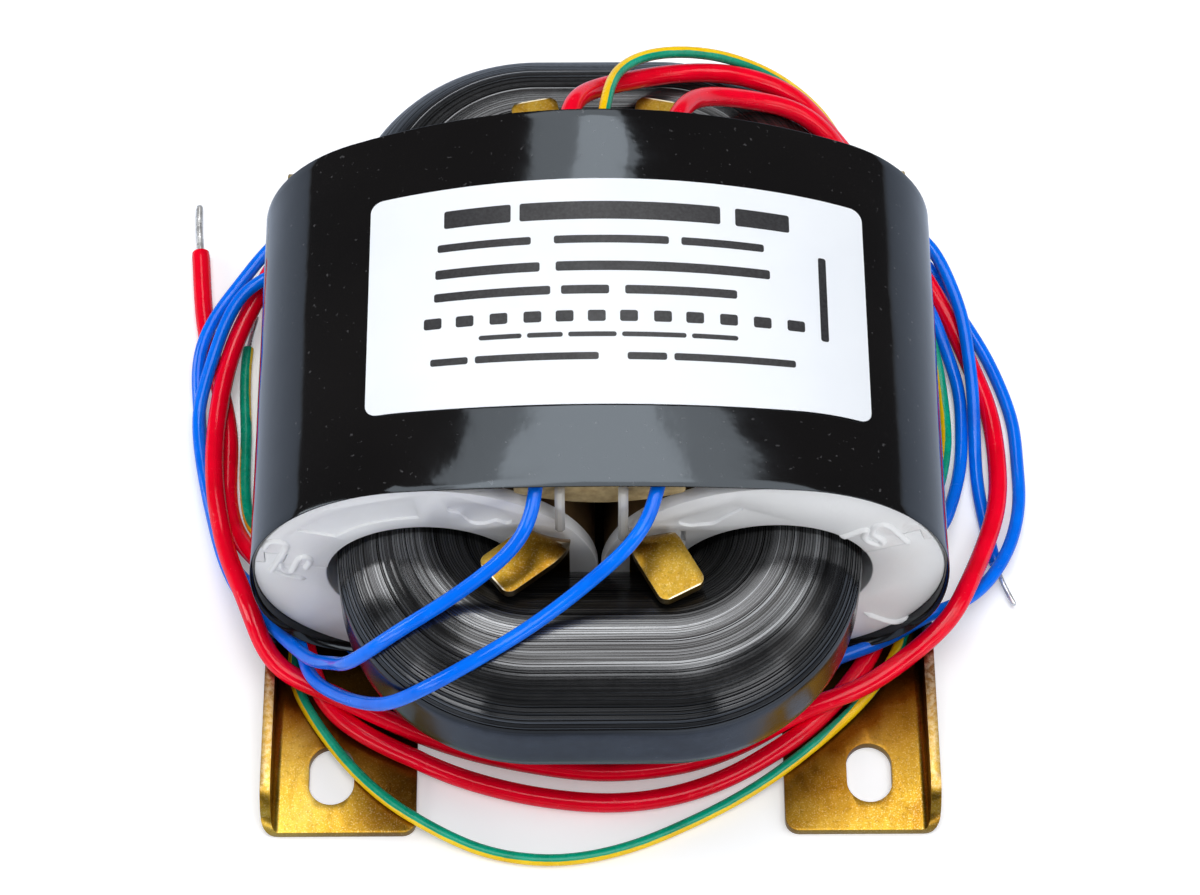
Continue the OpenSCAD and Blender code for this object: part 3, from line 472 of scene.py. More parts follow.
def rest_z(x, y, r):
    """The height of a lead's middle where it lies on the floor, a foot or a lip."""
    def over(gap):
        return np.sqrt(np.maximum(0, r * r - gap * gap))

    a, b = np.abs(x), np.abs(y)
    foot = np.maximum(0, FOOT_IN - a)
    lip = np.maximum(0, np.abs(a - FOOT_OUT + SHEET / 2) - SHEET / 2)
    z = np.full_like(a, r)
    z = np.where((a < FOOT_OUT) & (b < FOOT_END) & (foot < r), np.maximum(z, SHEET + over(foot)), z)
    z = np.where((b < LIP_END) & (lip < r), np.maximum(z, LIP_H + over(lip)), z)
    return z + REST_GAP


def smooth_path(points, step):
    """A dense curve through the points, and where each of them lies on it."""
    p = np.array(points, float)
    q = np.vstack([2 * p[0] - p[1], p, 2 * p[-1] - p[-2]])
    out, marks = [], []
    for i in range(1, len(q) - 2):
        a, b, c, d = q[i - 1], q[i], q[i + 1], q[i + 2]
        n = max(2, int(round(np.linalg.norm(c - b) / step)))
        marks.append(len(out))
        t = (np.arange(n) / n)[:, None]
        square, cube = 2 * a - 5 * b + 4 * c - d, 3 * b - a - 3 * c + d
        out.extend(0.5 * (2 * b + (c - a) * t + square * t ** 2 + cube * t ** 3))
    marks.append(len(out))
    out.append(p[-1])
    return np.array(out), marks


def unit(v):
    return v / np.linalg.norm(v, axis=-1, keepdims=True)


def strides(points):
    return np.linalg.norm(np.diff(points, axis=0), axis=1)


def even(points, step):
    """The same path with points at equal spacing."""
    s = np.concatenate([[0], np.cumsum(strides(points))])
    at = np.linspace(0, s[-1], int(round(s[-1] / step)) + 1)
    return np.stack([np.interp(at, s, points[:, k]) for k in range(3)], 1)


def blur(values, sigma, odd=False):
    """A Gaussian blur along a path; odd keeps the end points where they are."""
    w = int(4 * sigma)
    k = np.exp(-0.5 * (np.arange(-w, w + 1) / sigma) ** 2)
    k /= k.sum()
    head, tail = values[w:0:-1], values[-2:-w - 2:-1]
    if odd:
        head, tail = 2 * values[0] - head, 2 * values[-1] - tail
    v = np.vstack([head, values, tail])
    return np.stack([np.convolve(v[:, j], k, "valid") for j in range(v.shape[1])], 1)


def normals(points):
    """Two normals carried along a path without twist."""
    t = unit(np.gradient(points, axis=0))
    us = [unit(np.cross(t[0], (1, 0, 0)))]
    for way in t[1:]:
        us.append(unit(us[-1] - way * np.dot(us[-1], way)))
    us = np.array(us)
    return us, np.cross(t, us)


def tube(name, points, radii, sides):
    """A round tube along a path, with a radius for each of its points and flat ends."""
    u, v = normals(points)
    ang = 2 * np.pi * np.arange(sides) / sides
    out = np.cos(ang)[None, :, None] * u[:, None] + np.sin(ang)[None, :, None] * v[:, None]
    verts = (points[:, None] + radii[:, None, None] * out).reshape(-1, 3)
    ob = new_mesh(name, verts, capped(len(points), sides))
    ob.data.set_sharp_from_angle(angle=math.radians(60))
    return ob


def strands(name, path, radius):
    """A tinned conductor: twisted strands run together by solder, so its section is a lobed round."""
    path = even(path, TIP_STEP)
    u, v = normals(path)
    run = np.linspace(0, TIP_STEP * (len(path) - 1), len(path))
    ang = 2 * np.pi * np.arange(TIP_SIDES) / TIP_SIDES
    verts = []
    for i, p in enumerate(path):
        left = run[-1] - run[i]
        size = radius * (1 + 0.07 * noise.noise(Vector((run[i] * 0.7, radius * 40, 0))))
        size *= 1 if left > TIP_TAPER else 0.72 + 0.28 * left / TIP_TAPER
        lobe = 1 + 0.04 * np.cos(TIP_LOBES * (ang + run[i] * 0.3))
        verts.append(p + size * lobe[:, None] * (np.cos(ang)[:, None] * u[i] + np.sin(ang)[:, None] * v[i]))
    return new_mesh(name, np.vstack(verts), capped(len(path), TIP_SIDES))


def settle(paths, radii):
    """Rounds the leads' curves and moves them apart wherever two of them would overlap."""
    names = list(paths)
    paths = [blur(even(paths[n], LEAD_STEP), 2.4 / LEAD_STEP, True) for n in names]
    size = [len(p) for p in paths]
    lead = np.repeat(np.arange(len(names)), size)
    place = np.concatenate([np.arange(k) for k in size])
    rad = np.array([radii[n] for n in names])[lead]
    # the first points stay at the exit, and the next ones are freed little by little
    hold = np.concatenate([np.clip((np.arange(k) - 6) / 14, 0, 1) for k in size])
    pts = np.vstack(paths)
    near = (lead[:, None] == lead[None, :]) & (np.abs(place[:, None] - place[None, :]) < 14 / LEAD_STEP)
    need = rad[:, None] + rad[None, :] + LEAD_GAP
    cut = np.cumsum(size)[:-1]
    for _ in range(ROUNDS):
        square = (pts ** 2).sum(1)
        gap = np.sqrt(np.maximum(1e-9, square[:, None] + square[None, :] - 2 * pts @ pts.T))
        gap[near] = 99
        i, j = np.nonzero(gap < need)
        push = np.zeros_like(pts)
        if len(i):
            way = (pts[i] - pts[j]) / gap[i, j][:, None]
            far = (need - gap)[i, j] * 0.5
            order = np.argsort(far)
            push[i[order]] = (way * far[:, None])[order]
        push = np.vstack([blur(q, 1.2 / LEAD_STEP) for q in np.split(push, cut)]) * 1.5 * hold[:, None]
        pts = pts + push
        floor = rest_z(pts[:, 0], pts[:, 1], rad)
        pts[:, 2] = np.where(hold > 0, np.maximum(pts[:, 2], floor), pts[:, 2])
    return dict(zip(names, np.split(pts, cut)))


def stripe_side(path, ring):
    """How far round each point of a lead lies from the middle of its stripe, from 0 to 1."""
    t = unit(np.gradient(path, axis=0))
    left = np.cross((0, 0, 1), t)
    left = blur(left / np.maximum(0.2, np.linalg.norm(left, axis=1))[:, None], 6)
    left = unit(left - t * (left * t).sum(1)[:, None])
    top = np.cross(t, left)
    share, angle = zip(*STRIPE)
    a = np.radians(np.interp(np.linspace(0, 1, len(path)), share, angle))
    way = np.cos(a)[:, None] * top + np.sin(a)[:, None] * left
    out = unit(ring - path[:, None])
    return np.arccos(np.clip((out * way[:, None]).sum(2), -1, 1)) / np.pi


def make_leads(mats):
    raw, radii, tails = {}, {}, {}
    for name, route in ROUTES.items():
        r = LEAD_KINDS[name.split("_")[0]][0] / 2
        x, y = EXITS[name]
        start = (x, y, float(top_z(WRAP_IN, x, y)) - ROLL_GAP - EXIT_DROP - r)
        path, marks = smooth_path([start] + [(px, py, pz + r) for px, py, pz in route], TRACE_STEP)
        path[1:, 2] = np.maximum(path[1:, 2], rest_z(path[1:, 0], path[1:, 1], r))
        raw[name], radii[name], tails[name] = path, r, strides(path[marks[-3]:]).sum()
    for name, path in settle(raw, radii).items():
        r, kind = radii[name], name.split("_")[0]
        cut = len(path) - 1 - int(round(tails[name] / LEAD_STEP))
        body, rest = path[:cut + 1], path[cut - 1:]
        ends = np.full(len(body), r)
        ends[-1] *= 0.94
        wire = tube("wire_" + name, body, ends, LEAD_SIDES)
        if kind == "earth":
            ring = np.array([v.co[:] for v in wire.data.vertices]).reshape(len(body), LEAD_SIDES, 3) / MM
            point_attribute(wire, "around", stripe_side(body, ring).reshape(-1))
        dress(wire, mats[kind], "lead_" + name)
        tip = strands("strands_" + name, rest, r * TIP_SHARE)
        dress(tip, mats["tin"], "tip_" + name)


# ---- core of wound strip
BOLD_LAYERS, BOLD_OUTER = (17, 29, 40, 51), 8


def core_line():
    """The core's middle line, anticlockwise: points, outward normals and the run from the start."""
    line = []
    cx, cy = LEG_X - CORE_BEND, CORE_Y - CORE_BEND
    corners = [(cx, cy, 0), (-cx, cy, 90), (-cx, -cy, 180), (cx, -cy, 270)]
    for k, (ax, ay, a0) in enumerate(corners):
        for a in np.radians(np.linspace(a0, a0 + 90, 35)):
            line.append((ax + CORE_BEND * math.cos(a), ay + CORE_BEND * math.sin(a), math.cos(a), math.sin(a)))
        x, y, nx, ny = line[-1]
        ox, oy, oa = corners[(k + 1) % 4]
        oa = math.radians(oa)
        qx, qy = ox + CORE_BEND * math.cos(oa), oy + CORE_BEND * math.sin(oa)
        for f in np.linspace(0, 1, 8)[1:-1]:
            line.append((x + (qx - x) * f, y + (qy - y) * f, nx, ny))
    line = np.array(line)
    run = np.concatenate([[0], np.cumsum(np.hypot(*np.diff(line[:, :2], axis=0).T))])
    return line, run


def make_core(mats):
    edge = np.linspace(-HALF_DEPTH, HALF_DEPTH, LAYERS + 1)
    width = edge[1] - edge[0]
    half_band = math.sqrt(CORE_R ** 2 - HALF_DEPTH ** 2)
    line, run = core_line()
    rings = len(line)
    lift = rng.normal(0, 0.02, LAYERS)
    lift[0] = lift[-1] = 0
    tilt = rng.normal(0, 0.04, LAYERS)
    turn = 2 * np.pi * run / (run[-1] + 3)
    sway = np.zeros((LAYERS, rings))
    for k in (1, 2, 3, 5):
        sway += rng.normal(0, 0.016, (LAYERS, 1)) * np.cos(k * turn + rng.uniform(0, 6.28, (LAYERS, 1)))
    # each strip edge follows the round section, less so where the section is steep and the strips form steps
    section = []
    for top in (1, -1):
        side = []
        for i in range(LAYERS):
            m = (edge[i] + edge[i + 1]) / 2
            h = math.sqrt(max(CORE_R ** 2 - m * m, half_band ** 2))
            share = np.clip(1.35 - abs(m) / HALF_DEPTH * 0.55, 0.5, 1)
            slope = -m / h * share
            bold = i > LAYERS - BOLD_OUTER and i % 2 == 1 or i in BOLD_LAYERS
            g = 0.09 if bold else 0.022
            for t in (edge[i] + g, edge[i + 1] - g):
                z = h + lift[i] + slope * (t - m) + (tilt[i] + sway[i]) * (t - m)
                side.append((np.full(rings, t), z, (i + 0.5 + (t - m) / width * 0.9) / LAYERS, 0.0))
            if i < LAYERS - 1:
                side.append((np.full(rings, edge[i + 1]), None, (i + 1) / LAYERS, 0.3 if bold else 0.05))
        # the grooves between the strips lie below both neighbours
        for k, (t, z, l, deep) in enumerate(side):
            if z is None:
                side[k] = (t, np.minimum(side[k - 1][1], side[k + 1][1]) - deep, l, 0.0)
        if top < 0:
            side = side[::-1]
        section += [(t, top * z, l, 0.0) for t, z, l, _ in side]
        flat, end = np.full(rings, top * HALF_DEPTH), 1.0 if top > 0 else 0.0
        zs = np.linspace(half_band, -half_band, 9)[1:-1] * top
        section += [(flat, np.full(rings, z), end, 1.0) for z in zs]
    t = np.array([q[0] for q in section])
    z = np.array([q[1] for q in section])
    x = line[:, 0] + t * line[:, 2]
    y = line[:, 1] + t * line[:, 3]
    verts = np.stack([x, y, AXIS_Z + z], 2).transpose(1, 0, 2).reshape(-1, 3)
    core = new_mesh("core_strip", verts, loft_faces(rings, len(section), loop=True))
    core.data.flip_normals()
    core.data.set_sharp_from_angle(angle=math.radians(28))
    point_attribute(core, "layer", np.tile([q[2] for q in section], rings))
    point_attribute(core, "face", np.tile([q[3] for q in section], rings))
    point_attribute(core, "along", np.repeat(run / 100, len(section)))
    across = core.data.attributes.new("across", "FLOAT_VECTOR", "POINT")
    way = np.repeat(np.column_stack([line[:, 2:], np.zeros(rings)]), len(section), 0)
    across.data.foreach_set("vector", way.astype(np.float32).reshape(-1))
    dress(core, mats["core"], "r_core")


# ---- wrap and label
WRAP_RINGS, WRAP_ARC, WRAP_MID, LOOSE_END = 49, 25, 61, 1.25
LABEL_ROWS, LABEL_TOP, LABEL_UNDER, BAR_LIFT, BAR_CORNER = 25, 0.2, 0.12, 0.212, 0.25
BARS_X = 2.2  # the label's middle that the bars below are laid out for
BARS = [  # place along Y, height, bars as (from, to) along X
    (10.4, 2.3, [(-17.5, -9.9), (-8.9, 13.9), (15.6, 21.8)]),
    (6.7, 1.0, [(-18.2, -7.6), (-5.0, 8.0), (9.4, 18.8)]),
    (3.3, 1.2, [(-18.4, -6.6), (-4.8, 19.4)]),
    (0.3, 1.1, [(-18.5, -5.4), (-4.2, 1.2), (3.0, 15.6)]),
    (-3.0, 1.4, [(-19.6, -17.6), (-16.0, -14.0), (-12.2, -10.2), (-8.4, -6.4), (-4.8, -2.8), (-1.2, 0.8),
                 (2.4, 4.4), (6.2, 8.2), (9.8, 11.8), (13.6, 15.6), (17.4, 19.4), (21.2, 23.2)]),
    (-5.3, 0.6, [(-13.4, -8.6), (-8.0, -4.0), (-3.4, 2.0), (2.6, 9.8), (10.4, 15.6)]),
    (-8.0, 0.9, [(-18.8, -14.6), (-13.8, 0.0), (3.2, 7.6), (8.4, 22.0)]),
    (1.05, 11.1, [(25.0, 25.9)])]


def wrap_ring(r, y):
    left = -LEG_X - r * np.cos(np.radians(np.linspace(0, 90, WRAP_ARC)))
    mid = np.linspace(-LEG_X, LEG_X, WRAP_MID)[1:-1]
    xs = np.concatenate([left, mid, -left[::-1]])
    pts = [(x, y, z) for x, z in zip(xs, top_z(r, xs, y))]
    low = np.radians(np.linspace(0, -90, WRAP_ARC))[1:]
    pts += [(LEG_X + r * math.cos(a), y, AXIS_Z + r * math.sin(a)) for a in low]
    pts += [(-LEG_X - r * math.cos(a), y, AXIS_Z + r * math.sin(a)) for a in low[::-1]]
    return np.array(pts)


def make_wrap(mats):
    half = WRAP_LEN / 2
    # the outside, then round the rear rim, the inside and round the front rim
    rim = ((WRAP_R - 0.02, 0.03), (WRAP_R - 0.07, 0.0), (WRAP_R - 0.14, 0.04), (WRAP_IN + 0.06, 0.42))
    rings = [wrap_ring(WRAP_R, y) for y in np.linspace(-half + 0.12, half - 0.12, WRAP_RINGS)]
    rings += [wrap_ring(r, half - back) for r, back in rim]
    rings += [wrap_ring(WRAP_IN, y) for y in np.linspace(half - 0.5, 0.5 - half, 9)]
    rings += [wrap_ring(r, back - half) for r, back in rim[::-1]]
    size = len(rings[0])
    verts = np.vstack(rings)
    # slow waves in the outside of the film, none at its ends
    skin = verts[:WRAP_RINGS * size]
    wave = np.array([noise.noise(Vector(v) * 0.11) * 0.05 + noise.noise(Vector(v) * 0.33) * 0.018 for v in skin])
    fade = np.clip((half - np.abs(skin[:, 1])) / 2, 0, 1)
    out = unit(np.column_stack([skin[:, 0] - np.clip(skin[:, 0], -LEG_X, LEG_X), skin[:, 2] - AXIS_Z]))
    skin[:, 0] += out[:, 0] * wave * fade
    skin[:, 2] += out[:, 1] * wave * fade
    verts[:, 2] = np.maximum(verts[:, 2], SHEET + 0.002)
    # the film's ends stand out further at the lower outer sides
    beyond = np.abs(verts[:, 0]) - LEG_X
    turn = np.degrees(np.arctan2(verts[:, 2] - AXIS_Z, beyond))
    loose = np.clip((turn + 78) / 38, 0, 1) * np.clip((14 - turn) / 36, 0, 1) * (beyond > 0)
    end = np.clip((np.abs(verts[:, 1]) - half + 3) / 3, 0, 1)
    verts[:, 1] += np.sign(verts[:, 1]) * LOOSE_END * loose * (3 - 2 * loose) * loose * end
    wrap = new_mesh("wrap_film", verts, loft_faces(len(rings), size, loop=True))
    wrap.data.set_sharp_from_angle(angle=math.radians(50))
    dress(wrap, mats["film"], "film_wrap")


def label_point(x, y, lift):
    return (x, y, float(top_z(WRAP_R + lift, x, y)))


def make_label(mats):
    w, r, rows = LABEL_W, LABEL_CORNER, LABEL_ROWS
    corner = r * (1 - np.cos(np.radians(np.linspace(0, 90, 7))))
    middle = np.linspace(-w / 2 + r, w / 2 - r, 49)[1:-1]
    cols = np.concatenate([-w / 2 + corner, middle, w / 2 - corner[::-1]])
    verts, faces = [], []
    for lift in (LABEL_TOP, LABEL_UNDER):
        for x in cols:
            h = LABEL_L / 2 - corner_cut(w / 2 - abs(x), r)
            verts += [label_point(LABEL_X + x, LABEL_Y + y, lift) for y in np.linspace(-h, h, rows)]
    n = len(cols)
    for i in range(n - 1):
        for j in range(rows - 1):
            a = i * rows + j
            faces.append((a, a + rows, a + rows + 1, a + 1))
            b = n * rows + a
            faces.append((b, b + 1, b + rows + 1, b + rows))
    edge = [i * rows for i in range(n)] + [(n - 1) * rows + j for j in range(1, rows)]
    edge += [i * rows + rows - 1 for i in range(n - 2, -1, -1)] + list(range(rows - 2, 0, -1))
    for a, b in zip(edge, edge[1:] + edge[:1]):
        faces.append((b, a, a + n * rows, b + n * rows))
    label = new_mesh("label_sheet", verts, faces)
    label.data.set_sharp_from_angle(angle=math.radians(40))
    dress(label, mats["label"], "label")


def make_bars(mats):
    """Plain bars on the label."""
    bars = [(a + LABEL_X - BARS_X, b + LABEL_X - BARS_X, y - h / 2, y + h / 2)
            for y, h, spans in BARS for a, b in spans]
    r = BAR_CORNER
    verts, faces = [], []
    for x0, x1, y0, y1 in bars:
        middle = np.linspace(x0 + r, x1 - r, max(2, int((x1 - x0) / 0.8)))[1:-1]
        cols = np.concatenate([[x0, x0 + r * 0.3, x0 + r], middle, [x1 - r, x1 - r * 0.3, x1]])
        base = len(verts)
        for x in cols:
            c = corner_cut(min(x - x0, x1 - x), r)
            verts += [label_point(x, y0 + c, BAR_LIFT), label_point(x, y1 - c, BAR_LIFT)]
        for a in range(base, len(verts) - 2, 2):
            faces.append((a, a + 2, a + 3, a + 1))
    dress(new_mesh("label_bars", verts, faces), mats["ink"])


# ---- brackets
BEND_OUT, BEND_IN = 2.2, 1.0
FOOT_CORNER, BEND_CORNER, LIP_CORNER = 1.6, 1.5, 3.5
TONGUE_X, TONGUE_Y, TONGUE_ROOT, TONGUE_TOP, TONGUE_BEND, TONGUE_CORNER = 5.757, 24.5, 2.36, 2.8, 2.2, 1.1
ARM_X, ARM_FROM, ARM_TO, ARM_CORNER = (3.41, 3.6, 8, 12, 16, FOOT_IN + 0.05), 23.92, 29.9, 0.19


def sheet_mesh(name, verts, faces, mirrored):
    return new_mesh(name, verts, [f[::-1] for f in faces] if mirrored else faces, False)


def prism(outline, low, high):
    """A cutter from an outline, closed at both ends; low and high turn a point of it into a corner."""
    verts = [low(*p) for p in outline] + [high(*p) for p in outline]
    return new_mesh("cutter", verts, capped(2, len(outline)), False)


def foot_sheet(name, sx):
    """The foot and its lip as one bent sheet."""
    cx, cz = FOOT_OUT - BEND_OUT, BEND_OUT
    # each station has a point below, a point above and half the length along Y
    stations = []
    inner = [FOOT_IN + FOOT_CORNER * (1 - math.cos(a)) for a in np.radians(np.linspace(0, 90, 7))]
    for x in inner + list(np.linspace(24, cx, 12)):
        stations.append(((x, 0.0), (x, SHEET), FOOT_END - corner_cut(x - FOOT_IN, FOOT_CORNER)))
    for a in np.radians(np.linspace(-90, 0, 15)[1:]):
        c, q = math.cos(a), math.sin(a)
        x, z = cx + BEND_OUT * c, cz + BEND_IN * q
        end = LIP_END + math.sqrt(max(0, BEND_CORNER ** 2 - max(0, x - FOOT_OUT + BEND_CORNER) ** 2))
        stations.append(((x, cz + BEND_OUT * q), (cx + BEND_IN * c, z), end - corner_cut(LIP_H - z, LIP_CORNER)))
    for z in cz + (LIP_H - cz) * np.sin(np.radians(np.linspace(0, 90, 10)))[1:]:
        stations.append(((FOOT_OUT, z), (FOOT_OUT - SHEET, z), LIP_END - corner_cut(LIP_H - z, LIP_CORNER)))
    near_end = 0.06 * np.array([0, 0.1, 0.3, 0.6])
    share = np.concatenate([-1 + near_end, np.linspace(-0.94, 0.94, 33), 1 - near_end[::-1]])
    n = len(share)
    verts = []
    for low, high, end in stations:
        verts += [(sx * low[0], q * end, low[1]) for q in share]
        verts += [(sx * high[0], q * end, high[1]) for q in share[::-1]]
    faces = loft_faces(len(stations), 2 * n)
    for base, flip in ((0, 1), ((len(stations) - 1) * 2 * n, -1)):
        for j in range(n - 1):
            faces.append((base + j, base + 2 * n - 1 - j, base + 2 * n - 2 - j, base + j + 1)[::flip])
    ob = sheet_mesh(name, verts, faces, sx > 0)
    cutters = []
    for sy in (-1, 1):
        slot = [(sx * SLOT_X + SLOT_R * math.cos(a),
                 sy * SLOT_Y + math.copysign(SLOT_HALF, math.sin(a)) + SLOT_R * math.sin(a))
                for a in np.radians(np.arange(0, 360, 7.5) + 3.75)]
        cutters.append(prism(slot, lambda x, y: (x, y, -1), lambda x, y: (x, y, 3)))
    return round_edges(ob, 0.14, 3, 40, cutters)


def tongue_sheet(name, sx, sy, turn, reach):
    """A tongue: up through the core's window, bent over and turned so it lies on the core."""
    w0, w1, r, corner, a = TONGUE_ROOT, TONGUE_TOP, TONGUE_BEND, TONGUE_CORNER, math.radians(turn)
    top = AXIS_Z + CORE_R + 0.15 + SHEET / 2
    rows = [((TONGUE_X, TONGUE_Y, z), 0.0, 0.0, w0) for z in np.linspace(0.3, top - r, 12)]
    p = np.array(rows[-1][0])
    steps = 16
    for k in range(1, steps + 1):
        f = (k - 0.5) / steps
        lean, yaw = math.pi / 2 * f, a * f
        way = np.array((math.sin(lean) * math.sin(yaw), math.sin(lean) * math.cos(yaw), math.cos(lean)))
        p = p + r * math.pi / 2 / steps * way
        f = k / steps
        rows.append((tuple(p), math.pi / 2 * f, a * f, w0 + (w1 - w0) * f))
    way = np.array((math.sin(a), math.cos(a), 0))
    end = np.array((6.2 + 0.6 * way[0], 26.1, 0)) + (reach + 0.5) * way
    left = float(np.dot(end - p, way))
    tip = left - corner + corner * np.sin(np.radians(np.linspace(0, 90, 8)))[1:]
    for d in np.concatenate([np.linspace(0, left - corner, 8)[1:], tip]):
        rows.append((tuple(p + way * d), math.pi / 2, a, w1 - min(corner_cut(left - d, corner), 1.05)))
    across = np.linspace(-1, 1, 7)
    verts = []
    for q, lean, yaw, half in rows:
        side = np.array((math.cos(yaw), -math.sin(yaw), 0))
        out = np.array((-math.cos(lean) * math.sin(yaw), -math.cos(lean) * math.cos(yaw), math.sin(lean)))
        verts += [q + side * half * f + out * SHEET / 2 for f in across]
        verts += [q + side * half * f - out * SHEET / 2 for f in across[::-1]]
    verts = np.array(verts) * (sx, sy, 1)
    ob = sheet_mesh(name, verts, capped(len(rows), 2 * len(across)), sx * sy < 0)
    return round_edges(ob, 0.24, 3, 40)


def arm_sheet(name, sx, sy):
    """The arm from the foot to the tongue."""
    verts = []
    for x in ARM_X:
        cut = ARM_CORNER if x == ARM_X[0] else 0.0
        y0, y1, z0, z1 = ARM_FROM + cut, ARM_TO - cut, 0.01, SHEET - 0.01
        verts += [(sx * x, sy * y, z) for y, z in ((y0, z0), (y1, z0), (y1, z1), (y0, z1))]
    return round_edges(sheet_mesh(name, verts, capped(len(ARM_X), 4), sx * sy < 0), 0.1, 2, 40)


def make_brackets(mats):
    for side, sx, turn in (("left", -1, 52), ("right", 1, 28)):
        node = "bracket_" + side
        dress(foot_sheet("foot_" + side, sx), mats["chromate"], node)
        for end, sy, yaw, reach in (("front", -1, turn, 6.2), ("rear", 1, 12, 7.8)):
            tongue = tongue_sheet(f"tongue_{side}_{end}", sx, sy, yaw, reach)
            dress(tongue, mats["tab"], node)
            dress(arm_sheet(f"arm_{side}_{end}", sx, sy), mats["chromate"], node)


# ---- raised lines and recesses on the flanges' faces
LINES = {
    "left": [[(-38.0, 27.56), (-36.95, 29.87), (-35.32, 28.53), (-37.15, 23.5), (-37.3, 22.65), (-33.6, 20.6)],
             [(-33.68, 22.78), (-32.8, 25.3), (-33.76, 26.17), (-34.62, 24.15), (-35.15, 22.46), (-36.2, 23.16),
              (-36.3, 24.85)]],
    "right": [[(26.9, 30.4), (27.4, 30.1), (29.9, 31.9), (29.75, 29.7), (31.5, 28.1), (32.0, 28.7), (31.85, 29.36),
               (30.6, 30.8), (30.7, 32.2), (32.0, 32.9), (35.0, 28.3)],
              [(30.9, 11.4), (34.44, 9.1), (36.6, 10.5)]]}
LINE_SECTION = ((-0.44, -0.06), (-0.36, 0.16), (-0.2, 0.34), (0, 0.4), (0.2, 0.34), (0.36, 0.16), (0.44, -0.06))
ISLANDS = {
    "left": [(-16.9, 37.4), (-16.73, 36.14), (-15.59, 35.9), (-14.73, 33.97), (-13.61, 33.2), (-12.33, 33.4),
             (-11.49, 34.18), (-10.6, 33.2), (-9.9, 33.4), (-9.7, 34.4), (-10.97, 36.4), (-12.99, 37.9),
             (-15.27, 38.2)],
    "right": [(8.7, 33.4), (10.04, 32.5), (11.43, 32.75), (12.81, 33.0), (14.14, 34.7), (15.9, 36.4), (15.8, 37.0),
              (13.82, 37.4), (11.8, 35.95), (9.75, 35.05)]}
ISLAND_DEEP, PANEL_DEEP, SLIT_DEEP = 0.4, 0.3, 1.2
PANEL_IN, PANEL_OUT = 13.35, 17.7
SLIT = [(9.15, 27.4), (9.7, 27.4), (9.6, 31.5), (9.1, 31.5)]


def recess_cutters(side):
    """Cutters for an upper shell's front flange: an island, and a curved panel at the left or a slit at the right."""
    outline = np.array(ISLANDS[side])
    wide, marks = smooth_path([(x, 0, z) for x, z in np.vstack([outline[-3:], outline, outline[:4]])], 0.3)
    loops = [(blur(wide, 1.5, True)[marks[3]:marks[3 + len(outline)]][:, [0, 2]], ISLAND_DEEP)]
    if side == "left":
        arc = []
        for r, first, last in ((PANEL_IN, 91, 137), (PANEL_OUT, 143, 92)):
            arc += [(-LEG_X + r * math.cos(a), AXIS_Z + r * math.sin(a))
                    for a in np.radians(np.linspace(first, last, 30))]
        loops.append((np.array(arc), PANEL_DEEP))
    else:
        loops.append((np.array(SLIT), SLIT_DEEP))
    out = []
    for loop, deep in loops:
        area = np.sum(loop[:, 0] * np.roll(loop[:, 1], -1) - np.roll(loop[:, 0], -1) * loop[:, 1])
        if area < 0:
            loop = loop[::-1]
        out.append(prism(loop, lambda x, z: (x, FLANGE_FACE - 1, z), lambda x, z: (x, FLANGE_FACE + deep, z)))
        out[-1].data.flip_normals()
    return out


def make_mouldings(mats):
    for side in ("left", "right"):
        verts, faces = [], []
        for line in LINES[side]:
            path = even(smooth_path([(x, FLANGE_FACE, z) for x, z in line], 0.3)[0], 0.25)
            path = blur(path, 1.6, True)
            side_way = np.cross(unit(np.gradient(path, axis=0)), (0, 1, 0))
            n = len(path)
            taper = np.clip(np.minimum(np.arange(n), np.arange(n)[::-1]) * 0.3 + 0.15, 0, 1)
            base = len(verts)
            for i in range(n):
                for across, out in LINE_SECTION:
                    verts.append(path[i] + side_way[i] * across * taper[i] + np.array((0, -out * taper[i], 0)))
            quads = loft_faces(n, len(LINE_SECTION), closed=False)
            faces += [tuple(base + k for k in f[::-1]) for f in quads]
        dress(new_mesh("moulding_" + side, verts, faces), mats["bobbin"])


# ---- floor and light
FLOOR_HALF, FLOOR_DROP = 3000, 0.02
LAMPS = [  # name, place and size in metres, radiance and, where it isn't white, tint
    ("key", (0.12, -0.06, 1.0), (1.0, 0.86), 3.1),
    ("key_left", (-0.29, 0.27, 0.93), (0.12, 0.22), 3.0),
    ("right_key", (0.98, -0.05, 0.86), (0.5, 0.7), 1.5),
    ("strip", (-0.06, 0.42, 0.95), (0.33, 0.5), 2.8),
    ("left_key", (-1.02, 0.2, 0.46), (0.3, 0.7), 5.0),
    ("front", (0.0, -1.1, 0.2), (0.7, 0.24), 0.5),
    ("front_left", (-0.85, -0.95, 0.36), (0.8, 0.4), 3.0),
    ("front_right", (0.85, -0.95, 0.36), (0.8, 0.4), 3.0),
    ("left", (-1.0, -0.35, 0.4), (0.5, 0.6), 1.0, (0.92, 0.96, 1.0)),
    ("right", (1.0, -0.35, 0.4), (0.5, 0.6), 0.8, (1.0, 0.98, 0.95))]
LAMP_AIM = (0, 0, 0.02)


def make_floor():
    """A pale floor with a little light of its own where it is seen; duller and bluer in reflections."""
    s = Shader("floor", Roughness=0.9)
    ray = s.add("LightPath").outputs
    seen = s.math("MAXIMUM", s.math("MAXIMUM", ray["Is Camera Ray"], ray["Is Glossy Ray"]),
                  ray["Is Transmission Ray"])
    pale = s.vary(8, 2, (0.85, 0.86, 0.88), (0.87, 0.88, 0.90))
    look = s.surface(Base_Color=s.mix(ray["Is Glossy Ray"], pale, (0.30, 0.38, 0.52)),
                     Emission_Color=(1, 1, 1), Emission_Strength=s.times(seen, 0.25))
    f = FLOOR_HALF
    floor = new_mesh("floor", [(-f, -f, 0), (f, -f, 0), (f, f, 0), (-f, f, 0)], [(0, 1, 2, 3)], False)
    floor.location.z = -FLOOR_DROP * MM
    paint(floor, look)


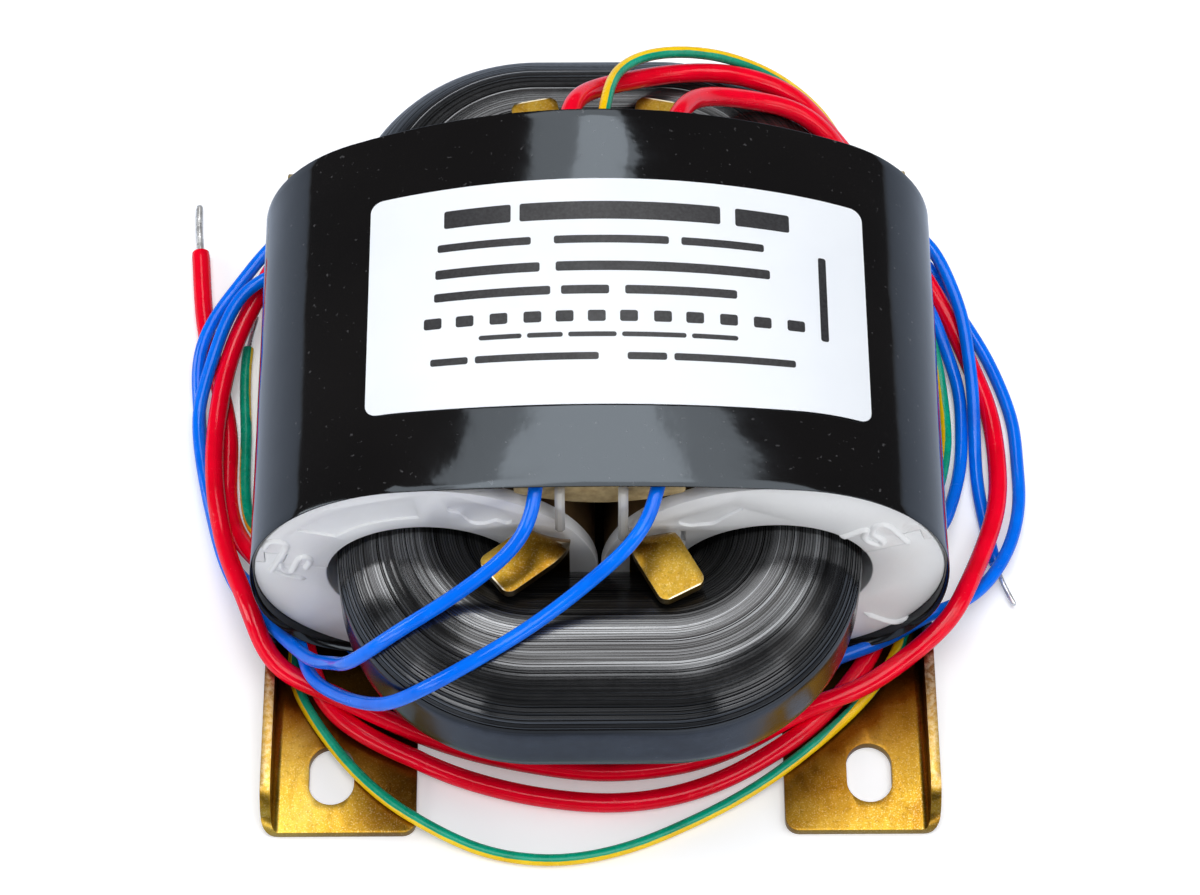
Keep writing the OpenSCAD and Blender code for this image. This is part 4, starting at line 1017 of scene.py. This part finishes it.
def make_light():
    world = bpy.data.worlds.new("studio")
    scene.world = world
    world.use_nodes = True
    background = world.node_tree.nodes["Background"].inputs
    background["Color"].default_value = (0.07, 0.073, 0.08, 1)
    background["Strength"].default_value = 1.0
    for name, place, size, radiance, *tint in LAMPS:
        data = bpy.data.lights.new(name, "AREA")
        data.shape = "RECTANGLE"
        data.size, data.size_y = size
        data.energy = radiance * math.pi * size[0] * size[1]
        data.color = tint[0] if tint else (1, 1, 1)
        ob = add_object(name, data)
        ob.location = place
        ob.rotation_euler = (Vector(LAMP_AIM) - Vector(place)).to_track_quat("-Z", "Y").to_euler()
    scene.view_settings.view_transform = "Standard"


# ---- build
INSIDE = {"primary": "copper", "secondary": "copper", "shield_foil": "foil", "primary_tape": "yellow_tape",
          "shield_tape": "yellow_tape", "outer_tape": "brown_tape"}

make_camera()
mats = {
    "red": pvc("red_pvc", (0.95, 0.0, 0.022), (0.80, 0.0, 0.015)),
    "blue": pvc("blue_pvc", (0.0, 0.17, 0.92), (0.0, 0.13, 0.78)),
    "earth": earth_pvc(), "tin": tinned(), "core": core_steel(), "film": film(), "label": label_film(),
    "ink": ink(), "crepe": crepe(), "sleeve": clear_sleeve(),
    "bobbin": moulded("bobbin_plastic", srgb(246, 247, 248), srgb(238, 239, 241)),
    "chromate": chromate("chromate_steel", True), "tab": chromate("chromate_tab", False),
    "yellow_tape": tape("yellow_tape", srgb(226, 200, 110), srgb(204, 176, 88)),
    "brown_tape": tape("brown_tape", srgb(104, 80, 50), srgb(78, 58, 36)),
    "copper": copper("enamelled_copper", (0.62, 0.26, 0.10), (0.40, 0.15, 0.05), 0.3),
    "foil": copper("copper_foil", (0.86, 0.48, 0.30), (0.78, 0.42, 0.25), 0.22),
}
make_leads(mats)
make_core(mats)
make_wrap(mats)
make_label(mats)
make_bars(mats)
make_brackets(mats)
make_mouldings(mats)
for side in ("left", "right"):
    for half in ("upper", "lower"):
        node = f"bobbin_{side}_{half}"
        shell = soften(node, f"shell_{side}_{half}", 0.15, recess_cutters(side) if half == "upper" else ())
        dress(shell, mats["bobbin"], node)
    node = f"start_sleeve_{side}"
    dress(soften(node, f"sleeve_{side}", 0.02), mats["sleeve"], node)
    for inside, look in INSIDE.items():
        paint(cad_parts[f"{inside}_{side}"], mats[look])
dress(soften("joint_roll", "paper_roll", 0.3), mats["crepe"], "joint_roll")
make_floor()
make_light()
